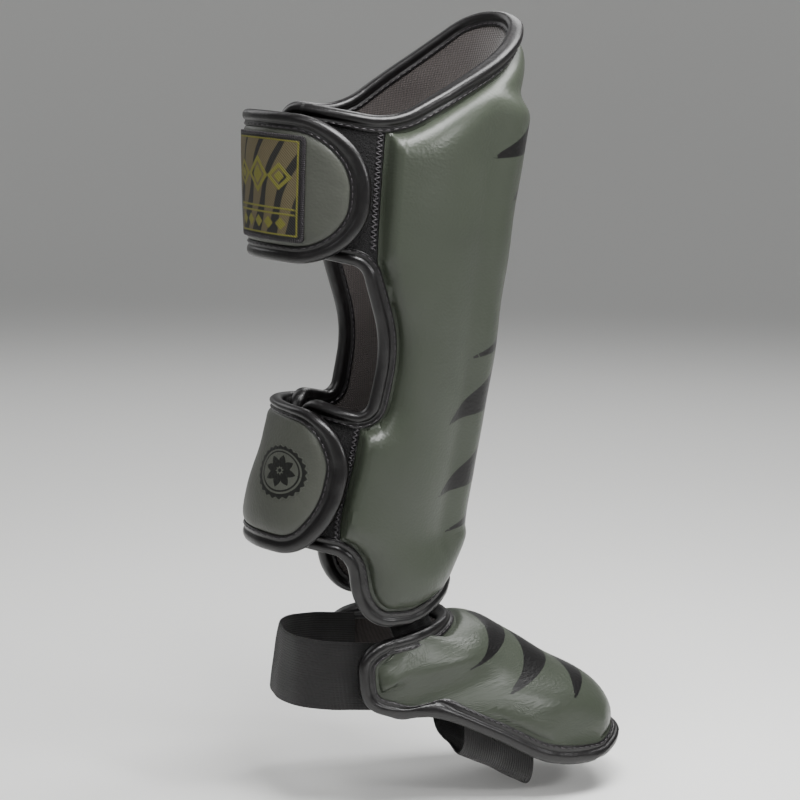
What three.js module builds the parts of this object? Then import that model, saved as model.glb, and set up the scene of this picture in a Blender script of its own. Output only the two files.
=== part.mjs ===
import * as THREE from 'three';

// A muay thai shin guard for the right leg, in the form that it has when it is worn: a padded shin
// shell with wings, two wide straps round the calf, a padded instep and two elastic bands.
// Millimetres. +Z is up, +X points to the toes and -Y is the outer side of the leg.
// The origin lies on the middle line of the leg, level with the lower edge of the shin pad.

// Leg and shin shell
const SHIN_HEIGHT = 374; // lower edge of the shin pad to its peak
const CALF_DEPTH = 130; // hollow, front to back under the upper strap
const CALF_WIDTH = 112; // hollow, side to side under the upper strap
const LEG_LEAN = 8.5; // degrees that the leg leans forward
const UPPER_SEAM = 0.272; // where the upper loop panel starts, share of the way round
const LOWER_SEAM = 0.297; // where the lower loop panel starts, share of the way round
const OUTER_WING = 0.44; // tip of the outer wings, share of the way round
const INNER_WING = 0.11; // length of the inner wings past their seam, share of the way round

// Layers, measured outward from the hollow
const LINING = 2.2; // lining fabric with its thin foam
const GAP = 0.7; // clearance between sewn layers
const COVER = 2.4; // leather and loop fabric where they are sewn flat
const PAD_RISE = 11; // puffed body of the shin pad over its sewn margin
const BAR_RISE = 10.5; // raised bar over the body of the shin pad
const BAR_WIDTH = 72; // raised bar, side to side
const PAD_MARGIN = 9; // flat sewn margin, edge to crease
const PAD_ROLL = 11; // from the crease to the full height of the pad

// Bindings
const BINDING_WALL = 1.2;
const BINDING_CLEARANCE = 1.5; // panel to the inside of its binding
const BINDING_LEG = 7; // from the edge of the panel to the stitched lip
const BEND_EASE = 0.4; // more room in the bindings where panels bend sharply

// Calf straps
const UPPER_STRAP_WIDTH = 79;
const UPPER_STRAP_LEVEL = 261; // middle of the upper strap over the origin
const UPPER_STRAP_TIP = 0.706; // share of the way round, from the front past the back
const LOWER_STRAP_WIDTH = 80;
const LOWER_STRAP_LEVEL = 90;
const LOWER_STRAP_TIP = 0.692;
const STRAP_ROOT = 0.004; // inner seam to the root of a strap, share of the way round
const ROOT_HEIGHT = 40; // sewn root of a strap, along the leg
const STRAP_THICKNESS = 3.5;
const STRAP_END = 37; // depth of the rounded free end
const HOOK_THICKNESS = 5;
const HOOK_INSET = 19; // edge of the strap to the hook panel

// Badges on the straps
const PATCH_WIDTH = 58;
const PATCH_HEIGHT = 60;
const PATCH_AT = 0.55; // middle of the patch, share of the way round
const SEAL_RADIUS = 16;
const SEAL_AT = 0.585; // middle of the seal, share of the way round
const BADGE_THICKNESS = 1;

// Instep
const INSTEP_LENGTH = 112; // collar to toe edge, along X
const INSTEP_DROP = 96; // collar to the lowest edge
const COLLAR_DROP = 6; // collar under the level of the shin pad's lower edge
const INSTEP_WIDTH = 94; // hollow, side to side
const INSTEP_RISE = 9.5; // puffed body of the instep pad over its sewn margin
const INSTEP_ROLL = 13; // from the crease to the full height of the instep pad
const COLLAR_AHEAD = 7; // collar in front of the shin hollow
const DENT_DEPTH = 5; // valley on each side of the instep pad

// Elastic bands and the fabric hinge
const ELASTIC = 1.6;
const ANKLE_BAND = 41;
const ANKLE_BACK = 47; // middle line of the leg to the back of the ankle band
const FOOT_BAND = 50;
const FOOT_BAND_AT = 0.235; // middle of the foot band, share of the way from toe edge to collar
const FOOT_BAND_DROP = 28; // pad edge to the underside of the foot
const BAND_OVERLAP = 13; // how far each band reaches up inside the instep
const LINK_THICKNESS = 1.8;

// How finely the curved solids are cut
const ROUND_STEP = 11;
const LONG_STEP = 36;
const ARC_STEPS = 40;
const BEND_STEP = 0.7; // radians in a bend of an outline
const CROWDED = 2; // points of a ring nearer than this are merged
const NEAR_LINE = 0.03; // points nearer than this to a line of the cutting grid are moved off it

// Hollow of the leg at several heights. at is a share of SHIN_HEIGHT. front, middle and back are
// shares of CALF_DEPTH from the leaning middle line, half is a share of CALF_WIDTH.
const LEG = [
  { at: 0.0, front: 0.345, middle: -0.015, back: -0.35, half: 0.375 },
  { at: 0.09, front: 0.355, middle: -0.06, back: -0.42, half: 0.4 },
  { at: 0.17, front: 0.24, middle: -0.105, back: -0.48, half: 0.41 },
  { at: 0.285, front: 0.238, middle: -0.12, back: -0.43, half: 0.415 },
  { at: 0.36, front: 0.245, middle: -0.135, back: -0.42, half: 0.42 },
  { at: 0.48, front: 0.248, middle: -0.175, back: -0.52, half: 0.455 },
  { at: 0.6, front: 0.245, middle: -0.21, back: -0.63, half: 0.485 },
  { at: 0.71, front: 0.245, middle: -0.24, back: -0.69, half: 0.5 },
  { at: 0.82, front: 0.248, middle: -0.27, back: -0.735, half: 0.51 },
  { at: 0.885, front: 0.262, middle: -0.285, back: -0.76, half: 0.515 },
  { at: 0.94, front: 0.295, middle: -0.3, back: -0.78, half: 0.52 },
  { at: 1.03, front: 0.33, middle: -0.315, back: -0.8, half: 0.53 },
];

// Corners of the shin shell laid flat, outer side negative. round is a share of the way round the
// leg, up is a share of SHIN_HEIGHT and bend is the radius of the corner.
const SHELL = [
  { round: -OUTER_WING, up: 0.822, bend: 15 },
  { round: -OUTER_WING, up: 0.605, bend: 15 },
  { round: -0.29, up: 0.595, bend: 10 },
  { round: -0.256, up: 0.47, bend: 70 },
  { round: -0.284, up: 0.35, bend: 12 },
  { round: -OUTER_WING, up: 0.362, bend: 15 },
  { round: -OUTER_WING, up: 0.143, bend: 15 },
  { round: -0.287, up: 0.135, bend: 10 },
  { round: -0.289, up: 0.02, bend: 24 },
  { round: -0.16, up: 0.03, bend: 60 },
  { round: 0, up: 0.1, bend: 60 },
  { round: 0.16, up: 0.03, bend: 60 },
  { round: 0.289, up: 0.02, bend: 24 },
  { round: 0.287, up: 0.135, bend: 10 },
  { round: LOWER_SEAM + INNER_WING, up: 0.143, bend: 14 },
  { round: LOWER_SEAM + INNER_WING, up: 0.36, bend: 14 },
  { round: 0.284, up: 0.35, bend: 12 },
  { round: 0.256, up: 0.47, bend: 70 },
  { round: 0.29, up: 0.595, bend: 10 },
  { round: UPPER_SEAM + INNER_WING, up: 0.605, bend: 14 },
  { round: UPPER_SEAM + INNER_WING, up: 0.825, bend: 14 },
  { round: 0.275, up: 0.828, bend: 40 },
  { round: 0.085, up: 1.025, bend: 36 },
  { round: 0.0, up: 1.01, bend: 50 },
  { round: -0.262, up: 0.812, bend: 40 },
];

// Hollow of the instep from toe edge to collar. at is a share of the way. ridge_x and side_x are
// shares of INSTEP_LENGTH, ridge_z and side_z of INSTEP_DROP and half of INSTEP_WIDTH.
const INSTEP = [
  { at: 0.0, ridge_x: 1.0, ridge_z: -0.8, side_x: 0.74, side_z: -0.885, half: 0.425 },
  { at: 0.12, ridge_x: 0.885, ridge_z: -0.62, side_x: 0.49, side_z: -0.79, half: 0.49 },
  { at: 0.26, ridge_x: 0.755, ridge_z: -0.505, side_x: 0.205, side_z: -0.615, half: 0.5 },
  { at: 0.42, ridge_x: 0.59, ridge_z: -0.39, side_x: -0.107, side_z: -0.455, half: 0.5 },
  { at: 0.58, ridge_x: 0.42, ridge_z: -0.27, side_x: -0.375, side_z: -0.425, half: 0.495 },
  { at: 0.74, ridge_x: 0.26, ridge_z: -0.15, side_x: -0.5, side_z: -0.345, half: 0.49 },
  { at: 0.88, ridge_x: 0.12, ridge_z: -0.045, side_x: -0.527, side_z: -0.175, half: 0.48 },
  { at: 1.0, ridge_x: 0.0, ridge_z: 0.031, side_x: -0.509, side_z: -0.01, half: 0.468 },
];

// Offsets of the layers that follow from the sizes above
const COVER_IN = LINING + GAP * 1.6;
const COVER_OUT = COVER_IN + COVER;
const BINDING_WEB = BINDING_CLEARANCE + BINDING_WALL;
const BINDING_OUT = COVER_OUT + BINDING_WEB;
const BINDING_IN = -BINDING_WEB;
const HOOK_IN = COVER_OUT + GAP;
const HOOK_OUT = HOOK_IN + HOOK_THICKNESS;
const STRAP_IN = HOOK_OUT + GAP;
const STRAP_OUT = STRAP_IN + STRAP_THICKNESS;
const BADGE_IN = STRAP_OUT + GAP * 1.3;
const BAND_OUT = BINDING_IN - BEND_EASE - GAP * 2;
const LINK_OUT = BINDING_IN - BEND_EASE - GAP * 1.6;

// Numbers and tables

const LEAN = THREE.MathUtils.degToRad(LEG_LEAN);
const clamp = THREE.MathUtils.clamp;
const lerp = THREE.MathUtils.lerp;

// Value of one column of a table, on a smooth curve through its rows
function column(rows, name, at) {
  const last = rows.length - 1;
  let i = 0;
  while (i < last - 1 && at > rows[i + 1].at) i += 1;
  const slope = (j) => {
    const before = rows[Math.max(j - 1, 0)];
    const after = rows[Math.min(j + 1, last)];
    return (after[name] - before[name]) / (after.at - before.at);
  };
  const span = rows[i + 1].at - rows[i].at;
  const t = clamp((at - rows[i].at) / span, 0, 1);
  const rest = 1 - t;
  return (
    rows[i][name] * (1 + 2 * t) * rest * rest +
    slope(i) * span * t * rest * rest +
    rows[i + 1][name] * t * t * (3 - 2 * t) -
    slope(i + 1) * span * t * t * rest
  );
}

// Quarter-round rise from 0 to 1, as a stuffed edge has
function swell(share) {
  const rest = 1 - clamp(share, 0, 1);
  return Math.sqrt(1 - rest * rest);
}

// Surfaces that the layers follow. Each takes a place on the flat pattern in millimetres and gives
// the point of the hollow there. Across runs to the inner side of the leg, along runs up.

// Running lengths along a quarter ellipse, from its depth axis to its widest point
function quarterLengths(depth, half) {
  const lengths = [0];
  for (let i = 1; i <= ARC_STEPS; i += 1) {
    const one = ((i - 1) * Math.PI) / 2 / ARC_STEPS;
    const two = (i * Math.PI) / 2 / ARC_STEPS;
    const across = half * (Math.sin(two) - Math.sin(one));
    const deep = depth * (Math.cos(one) - Math.cos(two));
    lengths.push(lengths[i - 1] + Math.hypot(across, deep));
  }
  return lengths;
}

function angleAt(lengths, distance) {
  let i = 1;
  while (i < ARC_STEPS && lengths[i] < distance) i += 1;
  const t = (distance - lengths[i - 1]) / (lengths[i] - lengths[i - 1]);
  return ((i - 1 + t) * Math.PI) / 2 / ARC_STEPS;
}

function legSection(z) {
  const at = z / SHIN_HEIGHT;
  const lean = z * Math.tan(LEAN);
  const front = column(LEG, 'front', at) * CALF_DEPTH;
  const middle = column(LEG, 'middle', at) * CALF_DEPTH;
  const back = column(LEG, 'back', at) * CALF_DEPTH;
  const half = column(LEG, 'half', at) * CALF_WIDTH;
  const ahead = quarterLengths(front - middle, half);
  const behind = quarterLengths(middle - back, half);
  const girth = 2 * (ahead[ARC_STEPS] + behind[ARC_STEPS]);
  return { x: middle + lean, ahead, behind, girth, depth: front - middle, hind: middle - back, half };
}

const GIRTH = legSection(UPPER_STRAP_LEVEL).girth;

// The sections stand square to the leaning leg
function shinSurface(across, along) {
  const section = legSection(along);
  const share = across / GIRTH - Math.round(across / GIRTH);
  const side = Math.sign(share);
  const distance = Math.abs(share) * section.girth;
  const isAhead = distance <= section.ahead[ARC_STEPS];
  const ahead = isAhead ? angleAt(section.ahead, distance) : 0;
  const behind = isAhead ? 0 : angleAt(section.behind, section.girth / 2 - distance);
  const forward = isAhead ? section.depth * Math.cos(ahead) : -section.hind * Math.cos(behind);
  const out = section.half * Math.sin(ahead + behind);
  const x = section.x + forward * Math.cos(LEAN);
  return new THREE.Vector3(x, side * out, along - forward * Math.sin(LEAN));
}

const COLLAR_X = LEG[0].front * CALF_DEPTH + COLLAR_AHEAD;
const INSTEP_RUN = Math.hypot(INSTEP_LENGTH, INSTEP_DROP);
const INSTEP_ARCH = INSTEP_WIDTH * 0.8;

function instepSurface(across, along) {
  const at = clamp(along / INSTEP_RUN, 0, 1);
  const ridgeX = COLLAR_X + column(INSTEP, 'ridge_x', at) * INSTEP_LENGTH;
  const ridgeZ = column(INSTEP, 'ridge_z', at) * INSTEP_DROP;
  const sideX = COLLAR_X + column(INSTEP, 'side_x', at) * INSTEP_LENGTH;
  const sideZ = column(INSTEP, 'side_z', at) * INSTEP_DROP;
  const half = column(INSTEP, 'half', at) * INSTEP_WIDTH;
  const angle = ((across / INSTEP_ARCH) * Math.PI) / 2;
  const fall = 1 - Math.cos(angle);
  const beyond = along - at * INSTEP_RUN;
  const rise = new THREE.Vector3(-INSTEP_LENGTH, 0, INSTEP_DROP).setLength(beyond);
  const x = lerp(ridgeX, sideX, fall);
  const z = lerp(ridgeZ, sideZ, fall) - COLLAR_DROP;
  return new THREE.Vector3(x, half * Math.sin(angle), z).add(rise);
}

// Place and directions of a surface at one point of its flat pattern
function frameAt(surface, p) {
  const step = 0.5;
  const across = surface(p.a + step, p.b).sub(surface(p.a - step, p.b)).divideScalar(2 * step);
  const along = surface(p.a, p.b + step).sub(surface(p.a, p.b - step)).divideScalar(2 * step);
  const normal = new THREE.Vector3().crossVectors(across, along).normalize();
  return { point: surface(p.a, p.b), across, along, normal };
}

function lifted(surface, p, height) {
  const { point, normal } = frameAt(surface, p);
  return point.addScaledVector(normal, height);
}

// Outlines on the flat pattern, anticlockwise

// An outline whose straight stretches are cut as finely as the panels are
function subdivided(outline) {
  const result = [];
  outline.forEach((p, i) => {
    const next = outline[(i + 1) % outline.length];
    if (Math.hypot(next.a - p.a, next.b - p.b) < 0.01) return;
    const steps = Math.max(Math.abs(next.a - p.a) / ROUND_STEP, Math.abs(next.b - p.b) / LONG_STEP);
    const parts = Math.ceil(steps / 1.15);
    for (let k = 0; k < parts; k += 1) {
      result.push({ a: lerp(p.a, next.a, k / parts), b: lerp(p.b, next.b, k / parts) });
    }
  });
  return result;
}

// Closed outline through corners with round bends
function rounded(corners) {
  const outline = [];
  const count = corners.length;
  const ends = corners.map((corner, i) => {
    const back = corners[(i + count - 1) % count];
    const next = corners[(i + 1) % count];
    const arrive = new THREE.Vector2(corner.a - back.a, corner.b - back.b).normalize();
    const leave = new THREE.Vector2(next.a - corner.a, next.b - corner.b).normalize();
    const turn = Math.atan2(arrive.cross(leave), arrive.dot(leave));
    const reach = corner.bend * Math.tan(Math.abs(turn) / 2);
    return { corner, arrive, turn, reach };
  });
  ends.forEach(({ corner, arrive, turn, reach }) => {
    const start = new THREE.Vector2(corner.a, corner.b).addScaledVector(arrive, -reach);
    const side = new THREE.Vector2(-arrive.y, arrive.x).multiplyScalar(Math.sign(turn));
    const centre = start.clone().addScaledVector(side, corner.bend);
    const sweep = Math.abs(turn);
    const bends = Math.ceil(Math.max(sweep / BEND_STEP, (sweep * corner.bend) / (ROUND_STEP * 1.3)));
    for (let k = 0; k <= bends; k += 1) {
      const point = start.clone().rotateAround(centre, (turn * k) / bends);
      outline.push({ a: point.x, b: point.y });
    }
  });
  return subdivided(outline);
}

// The part of an outline where keep is positive, closed straight across the cut
function trimmed(outline, keep) {
  const kept = [];
  outline.forEach((p, i) => {
    const next = outline[(i + 1) % outline.length];
    const here = keep(p);
    const there = keep(next);
    if (here > 0) kept.push(p);
    if (here > 0 !== there > 0) {
      const t = here / (here - there);
      kept.push({ a: lerp(p.a, next.a, t), b: lerp(p.b, next.b, t) });
    }
  });
  return kept;
}

// Place on the flat pattern at a distance in space inward from a corner of the outline
function inwardFrom(surface, outline, i, distance) {
  const back = outline[(i + outline.length - 1) % outline.length];
  const next = outline[(i + 1) % outline.length];
  const { across, along, normal } = frameAt(surface, outline[i]);
  const edge = surface(next.a, next.b).sub(surface(back.a, back.b));
  const inward = new THREE.Vector3().crossVectors(normal, edge).normalize();
  const aa = across.dot(across);
  const ab = across.dot(along);
  const bb = along.dot(along);
  const ia = inward.dot(across);
  const ib = inward.dot(along);
  const size = aa * bb - ab * ab;
  const step = { a: (ia * bb - ib * ab) / size, b: (ib * aa - ia * ab) / size };
  const placed = (reach) => ({ a: outline[i].a + step.a * reach, b: outline[i].b + step.b * reach });
  const trial = placed(distance);
  const reached = surface(trial.a, trial.b).distanceTo(surface(outline[i].a, outline[i].b));
  return placed((distance * Math.abs(distance)) / reached);
}

// Distance in space from a place on the surface to an outline
function distanceTo(surface, outline) {
  const points = outline.map((p) => surface(p.a, p.b));
  const nearest = new THREE.Vector3();
  const line = new THREE.Line3();
  return (p) => {
    const point = surface(p.a, p.b);
    let least = Infinity;
    points.forEach((start, i) => {
      line.set(start, points[(i + 1) % points.length]);
      line.closestPointToPoint(point, true, nearest);
      least = Math.min(least, nearest.distanceToSquared(point));
    });
    return Math.sqrt(least);
  };
}

// The outline moved inward, without the points that cross over or crowd at sharp corners
function inset(surface, outline, distance) {
  const edgeDistance = distanceTo(surface, outline);
  const moved = outline
    .map((from, i) => ({ from, to: inwardFrom(surface, outline, i, distance) }))
    .filter(({ to }) => edgeDistance(to) > distance * 0.96);
  const goesOn = (last, next) => {
    const edge = new THREE.Vector2(next.from.a - last.from.a, next.from.b - last.from.b).normalize();
    return edge.x * (next.to.a - last.to.a) + edge.y * (next.to.b - last.to.b) > CROWDED;
  };
  const kept = [];
  moved.forEach((next) => {
    if (kept.length === 0 || goesOn(kept[kept.length - 1], next)) kept.push(next);
  });
  while (!goesOn(kept[kept.length - 1], kept[0])) kept.pop();
  return kept.map(({ to }) => to);
}

// Solids

function meshOf(name, positions, faces, material) {
  const geometry = new THREE.BufferGeometry();
  geometry.setAttribute('position', new THREE.Float32BufferAttribute(positions, 3));
  geometry.setIndex(faces.flat());
  geometry.computeVertexNormals();
  const mesh = new THREE.Mesh(geometry, material);
  mesh.name = name;
  return mesh;
}

// Places where evenly spaced lines cross a stretch, shifted so that none lies on a seam, and extra ones
function cuts(from, to, step, extra) {
  const lines = [...extra];
  for (let k = Math.floor(from / step) - 1; k * step < to + step; k += 1) {
    lines.push(k * step + step * 0.37);
  }
  return lines.sort((one, two) => one - two);
}

// The outline with a point added wherever a line of the cutting grid crosses it
function crossed(outline, linesA, linesB) {
  const near = (value, lines) => lines.some((line) => Math.abs(line - value) < NEAR_LINE);
  const off = (value, lines) => (near(value, lines) ? value + 2 * NEAR_LINE : value);
  const moved = outline.map((p) => ({ a: off(p.a, linesA), b: off(p.b, linesB) }));
  const result = [];
  moved.forEach((p, i) => {
    const next = moved[(i + 1) % moved.length];
    const shares = [];
    linesA.forEach((line) => shares.push((line - p.a) / (next.a - p.a)));
    linesB.forEach((line) => shares.push((line - p.b) / (next.b - p.b)));
    result.push(p);
    const inside = shares.filter((t) => t > 1e-6 && t < 1 - 1e-6).sort((one, two) => one - two);
    inside.forEach((t) => result.push({ a: lerp(p.a, next.a, t), b: lerp(p.b, next.b, t) }));
  });
  return result;
}

// A polygon without the double points that cutting it along a line can leave
function distinct(polygon) {
  return polygon.filter((p, i) => {
    const back = polygon[(i + polygon.length - 1) % polygon.length];
    return Math.hypot(p.a - back.a, p.b - back.b) > 1e-5;
  });
}

// The parts of a polygon where side is positive, each closed along the line where side is zero
function parted(polygon, side, alongLine) {
  const points = polygon.map((p, i) => [p, polygon[(i + 1) % polygon.length]]);
  const start = points.findIndex(([p, next]) => side(p) <= 0 && side(next) > 0);
  if (start < 0) return side(polygon[0]) > 0 ? [polygon] : [];
  const chains = [];
  [...points.slice(start), ...points.slice(0, start)].forEach(([p, next]) => {
    const here = side(p);
    const there = side(next);
    const t = here / (here - there);
    const crossing = { a: lerp(p.a, next.a, t), b: lerp(p.b, next.b, t) };
    if (here > 0) chains[chains.length - 1].push(p);
    if (here > 0 && there <= 0) chains[chains.length - 1].push(crossing);
    if (here <= 0 && there > 0) chains.push([crossing]);
  });
  const ends = chains.flatMap((chain) => [
    { chain, at: alongLine(chain[0]), leaves: false },
    { chain, at: alongLine(chain[chain.length - 1]), leaves: true },
  ]);
  ends.sort((one, two) => one.at - two.at);
  const following = (chain) => {
    const left = ends.findIndex((end) => end.chain === chain && end.leaves);
    return ends[left % 2 === 0 ? left + 1 : left - 1].chain;
  };
  const waiting = new Set(chains);
  const parts = [];
  chains.forEach((chain) => {
    const part = [];
    for (let link = chain; waiting.has(link); link = following(link)) {
      waiting.delete(link);
      part.push(...link);
    }
    if (part.length > 2) parts.push(part);
  });
  return parts;
}

// The parts of polygons between two lines
function strip(polygons, name, from, to) {
  const alongLine = name === 'a' ? (p) => p.b : (p) => p.a;
  return polygons
    .flatMap((polygon) => parted(polygon, (p) => p[name] - from, alongLine))
    .flatMap((polygon) => parted(polygon, (p) => to - p[name], alongLine));
}

// A place moved by less than a thousandth, so that no three in a row are cut away as aligned
function unaligned(p, i) {
  return new THREE.Vector2(p.a + 1e-5 * Math.sin(7 * i), p.b + 1e-5 * Math.cos(5 * i));
}

// Triangles between a loop and the next loop inside it, each on the shorter diagonal
function between(outer, inner) {
  const gap = (p, q) => Math.hypot(p.a - q.a, p.b - q.b);
  const gaps = inner.map((p) => gap(p, outer[0]));
  const first = gaps.indexOf(Math.min(...gaps));
  const inside = (j) => inner[(first + j) % inner.length];
  const outside = (i) => outer[i % outer.length];
  const faces = [];
  let i = 0;
  let j = 0;
  while (i < outer.length || j < inner.length) {
    const shorter = gap(outside(i + 1), inside(j)) < gap(outside(i), inside(j + 1));
    if (i < outer.length && (shorter || j === inner.length)) {
      faces.push([outside(i), outside(i + 1), inside(j)]);
      i += 1;
    } else {
      faces.push([outside(i), inside(j + 1), inside(j)]);
      j += 1;
    }
  }
  return faces;
}

// Flat net of triangles: rings of given distances round the edge, and a grid inside the last ring
function patternNet(surface, outline, options) {
  const { rings = [], stepA = ROUND_STEP, stepB = LONG_STEP, extraA = [], extraB = [] } = options;
  const places = [];
  const faces = [];
  const index = new Map();
  const indexOf = (p) => {
    const key = `${Math.round(p.a * 1e4)},${Math.round(p.b * 1e4)}`;
    if (!index.has(key)) {
      index.set(key, places.length);
      places.push(p);
    }
    return index.get(key);
  };
  const fill = (polygon) => {
    const vectors = polygon.map(unaligned);
    const corners = polygon.map(indexOf);
    const net = THREE.ShapeUtils.triangulateShape(vectors, []);
    const turn = net.reduce((sum, [i, j, k]) => {
      return sum + THREE.ShapeUtils.area([vectors[i], vectors[j], vectors[k]]);
    }, 0);
    net.forEach((face) => {
      const [i, j, k] = face.map((corner) => corners[corner]);
      if (i === j || j === k || k === i) return;
      faces.push(turn > 0 ? [i, j, k] : [i, k, j]);
    });
  };
  const loops = [outline, ...rings.map((distance) => inset(surface, outline, distance))];
  const inner = loops[loops.length - 1];
  const spanA = inner.map((p) => p.a);
  const spanB = inner.map((p) => p.b);
  const linesA = cuts(Math.min(...spanA), Math.max(...spanA), stepA, extraA);
  const linesB = cuts(Math.min(...spanB), Math.max(...spanB), stepB, extraB);
  loops[loops.length - 1] = crossed(inner, linesA, linesB);
  for (let i = 0; i + 1 < loops.length; i += 1) {
    faces.push(...between(loops[i], loops[i + 1]).map((face) => face.map(indexOf)));
  }
  for (let i = 0; i + 1 < linesA.length; i += 1) {
    const upright = strip([loops[loops.length - 1]], 'a', linesA[i], linesA[i + 1]);
    for (let j = 0; j + 1 < linesB.length; j += 1) {
      const cells = strip(upright, 'b', linesB[j], linesB[j + 1]).map(distinct);
      cells.filter((cell) => cell.length > 2).forEach(fill);
    }
  }
  return { places, faces };
}

// Closed solid between two heights over a surface, inside an outline
function panel(name, surface, outline, inner, outer, material, options = {}) {
  const { places, faces } = patternNet(surface, outline, options);
  const positions = [];
  [outer, inner].forEach((height) => {
    places.forEach((p) => positions.push(...lifted(surface, p, height(p)).toArray()));
  });
  const count = places.length;
  const edges = new Set();
  faces.forEach(([i, j, k]) => [`${i},${j}`, `${j},${k}`, `${k},${i}`].forEach((edge) => edges.add(edge)));
  const solid = [...faces, ...faces.map(([i, j, k]) => [i + count, k + count, j + count])];
  edges.forEach((edge) => {
    const [i, j] = edge.split(',').map(Number);
    if (edges.has(`${j},${i}`)) return;
    solid.push([i, i + count, j + count], [i, j + count, j]);
  });
  return meshOf(name, positions, solid, material);
}

// Folded channel that wraps the edge of a panel, from one height to another
function binding(name, surface, outline, low, high, material) {
  const section = [
    [-BINDING_LEG, high],
    [BINDING_WEB, high],
    [BINDING_WEB, low],
    [-BINDING_LEG, low],
    [-BINDING_LEG, low + BINDING_WALL],
    [BINDING_CLEARANCE, low + BINDING_WALL],
    [BINDING_CLEARANCE, high - BINDING_WALL],
    [-BINDING_LEG, high - BINDING_WALL],
  ];
  const positions = [];
  outline.forEach((p, i) => {
    section.forEach(([outward, height]) => {
      const place = inwardFrom(surface, outline, i, -outward);
      positions.push(...lifted(surface, place, height).toArray());
    });
  });
  const faces = [];
  const wide = section.length;
  outline.forEach((p, i) => {
    const next = (i + 1) % outline.length;
    section.forEach((_, k) => {
      const over = (k + 1) % wide;
      const [one, two] = [i * wide + k, i * wide + over];
      const [three, four] = [next * wide + over, next * wide + k];
      faces.push([one, two, three], [one, three, four]);
    });
  });
  return meshOf(name, positions, faces, material);
}

// Materials

const finish = (color, roughness) => new THREE.MeshStandardMaterial({ color, roughness, metalness: 0 });
const leather = () => finish('#5d6259', 0.55);
const strapLeather = () => finish('#565a53', 0.6);
const trim = () => finish('#2a2528', 0.45);
const loopFabric = () => finish('#1d1c1f', 0.95);
const hookFabric = () => finish('#18171a', 0.8);
const liningFabric = () => finish('#4a4240', 0.9);
const elastic = () => finish('#1c1819', 0.9);
const wovenLabel = () => finish('#2c2c22', 0.8);

// Shin shell

const evenly = (height) => () => height;

const onLeg = (corner) => ({ a: corner.round * GIRTH, b: corner.up * SHIN_HEIGHT, bend: corner.bend });
const shell = rounded(SHELL.map(onLeg));
const cutOutLevel = (UPPER_STRAP_LEVEL + LOWER_STRAP_LEVEL) / 2;
const seam = (p) => (p.b > cutOutLevel ? -UPPER_SEAM : -LOWER_SEAM) * GIRTH;
const padOutline = subdivided(trimmed(shell, (p) => p.a - seam(p)));
const pastSeam = (p) => seam(p) - GAP - p.a;
const upperWing = subdivided(trimmed(shell, (p) => Math.min(pastSeam(p), p.b - cutOutLevel)));
const lowerWing = subdivided(trimmed(shell, (p) => Math.min(pastSeam(p), cutOutLevel - p.b)));

// The raised bar runs down the shin from just under the peak to just over the lower edge
const BAR_TOP = SHIN_HEIGHT * 0.89;
const BAR_FOOT = SHIN_HEIGHT * 0.115;

function barHeight(p) {
  const side = BAR_WIDTH / 2 - Math.abs(p.a);
  const inside = Math.min(side, BAR_TOP - p.b, p.b - BAR_FOOT);
  return BAR_RISE * swell(inside / PAD_ROLL);
}

function padHeight() {
  const edgeDistance = distanceTo(shinSurface, padOutline);
  return (p) => {
    const flatWing = -seam(p) - p.a;
    const rise = PAD_RISE * swell((Math.min(edgeDistance(p), flatWing) - PAD_MARGIN) / PAD_ROLL);
    return COVER_OUT + rise + (rise > 0 ? barHeight(p) : 0);
  };
}

function shinShell() {
  const group = new THREE.Group();
  const rings = [PAD_MARGIN, PAD_MARGIN + PAD_ROLL * 0.3, PAD_MARGIN + PAD_ROLL];
  const extraB = [0.05, 0.14, 0.2].map((share) => share * SHIN_HEIGHT);
  const flatCover = evenly(COVER_OUT);
  const underCover = evenly(COVER_IN);
  group.add(
    panel('shin_pad', shinSurface, padOutline, underCover, padHeight(), leather(), { rings, extraB }),
    panel('shin_lining', shinSurface, shell, evenly(0), evenly(LINING), liningFabric(), { extraB }),
    panel('upper_loop_panel', shinSurface, upperWing, underCover, flatCover, loopFabric()),
    panel('lower_loop_panel', shinSurface, lowerWing, underCover, flatCover, loopFabric(), { extraB }),
    binding('shin_binding', shinSurface, shell, BINDING_IN - BEND_EASE, BINDING_OUT, trim()),
  );
  return group;
}

// Calf straps

// Outline of a strap from its square root on the inner wing to its round free end
function strapOutline(level, width, root, tip) {
  const half = width / 2;
  return rounded([
    { a: root * GIRTH, b: level + half, bend: 6 },
    { a: root * GIRTH, b: level - half, bend: 6 },
    { a: tip * GIRTH, b: level - half, bend: STRAP_END },
    { a: tip * GIRTH, b: level + half, bend: STRAP_END },
  ]);
}

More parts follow.
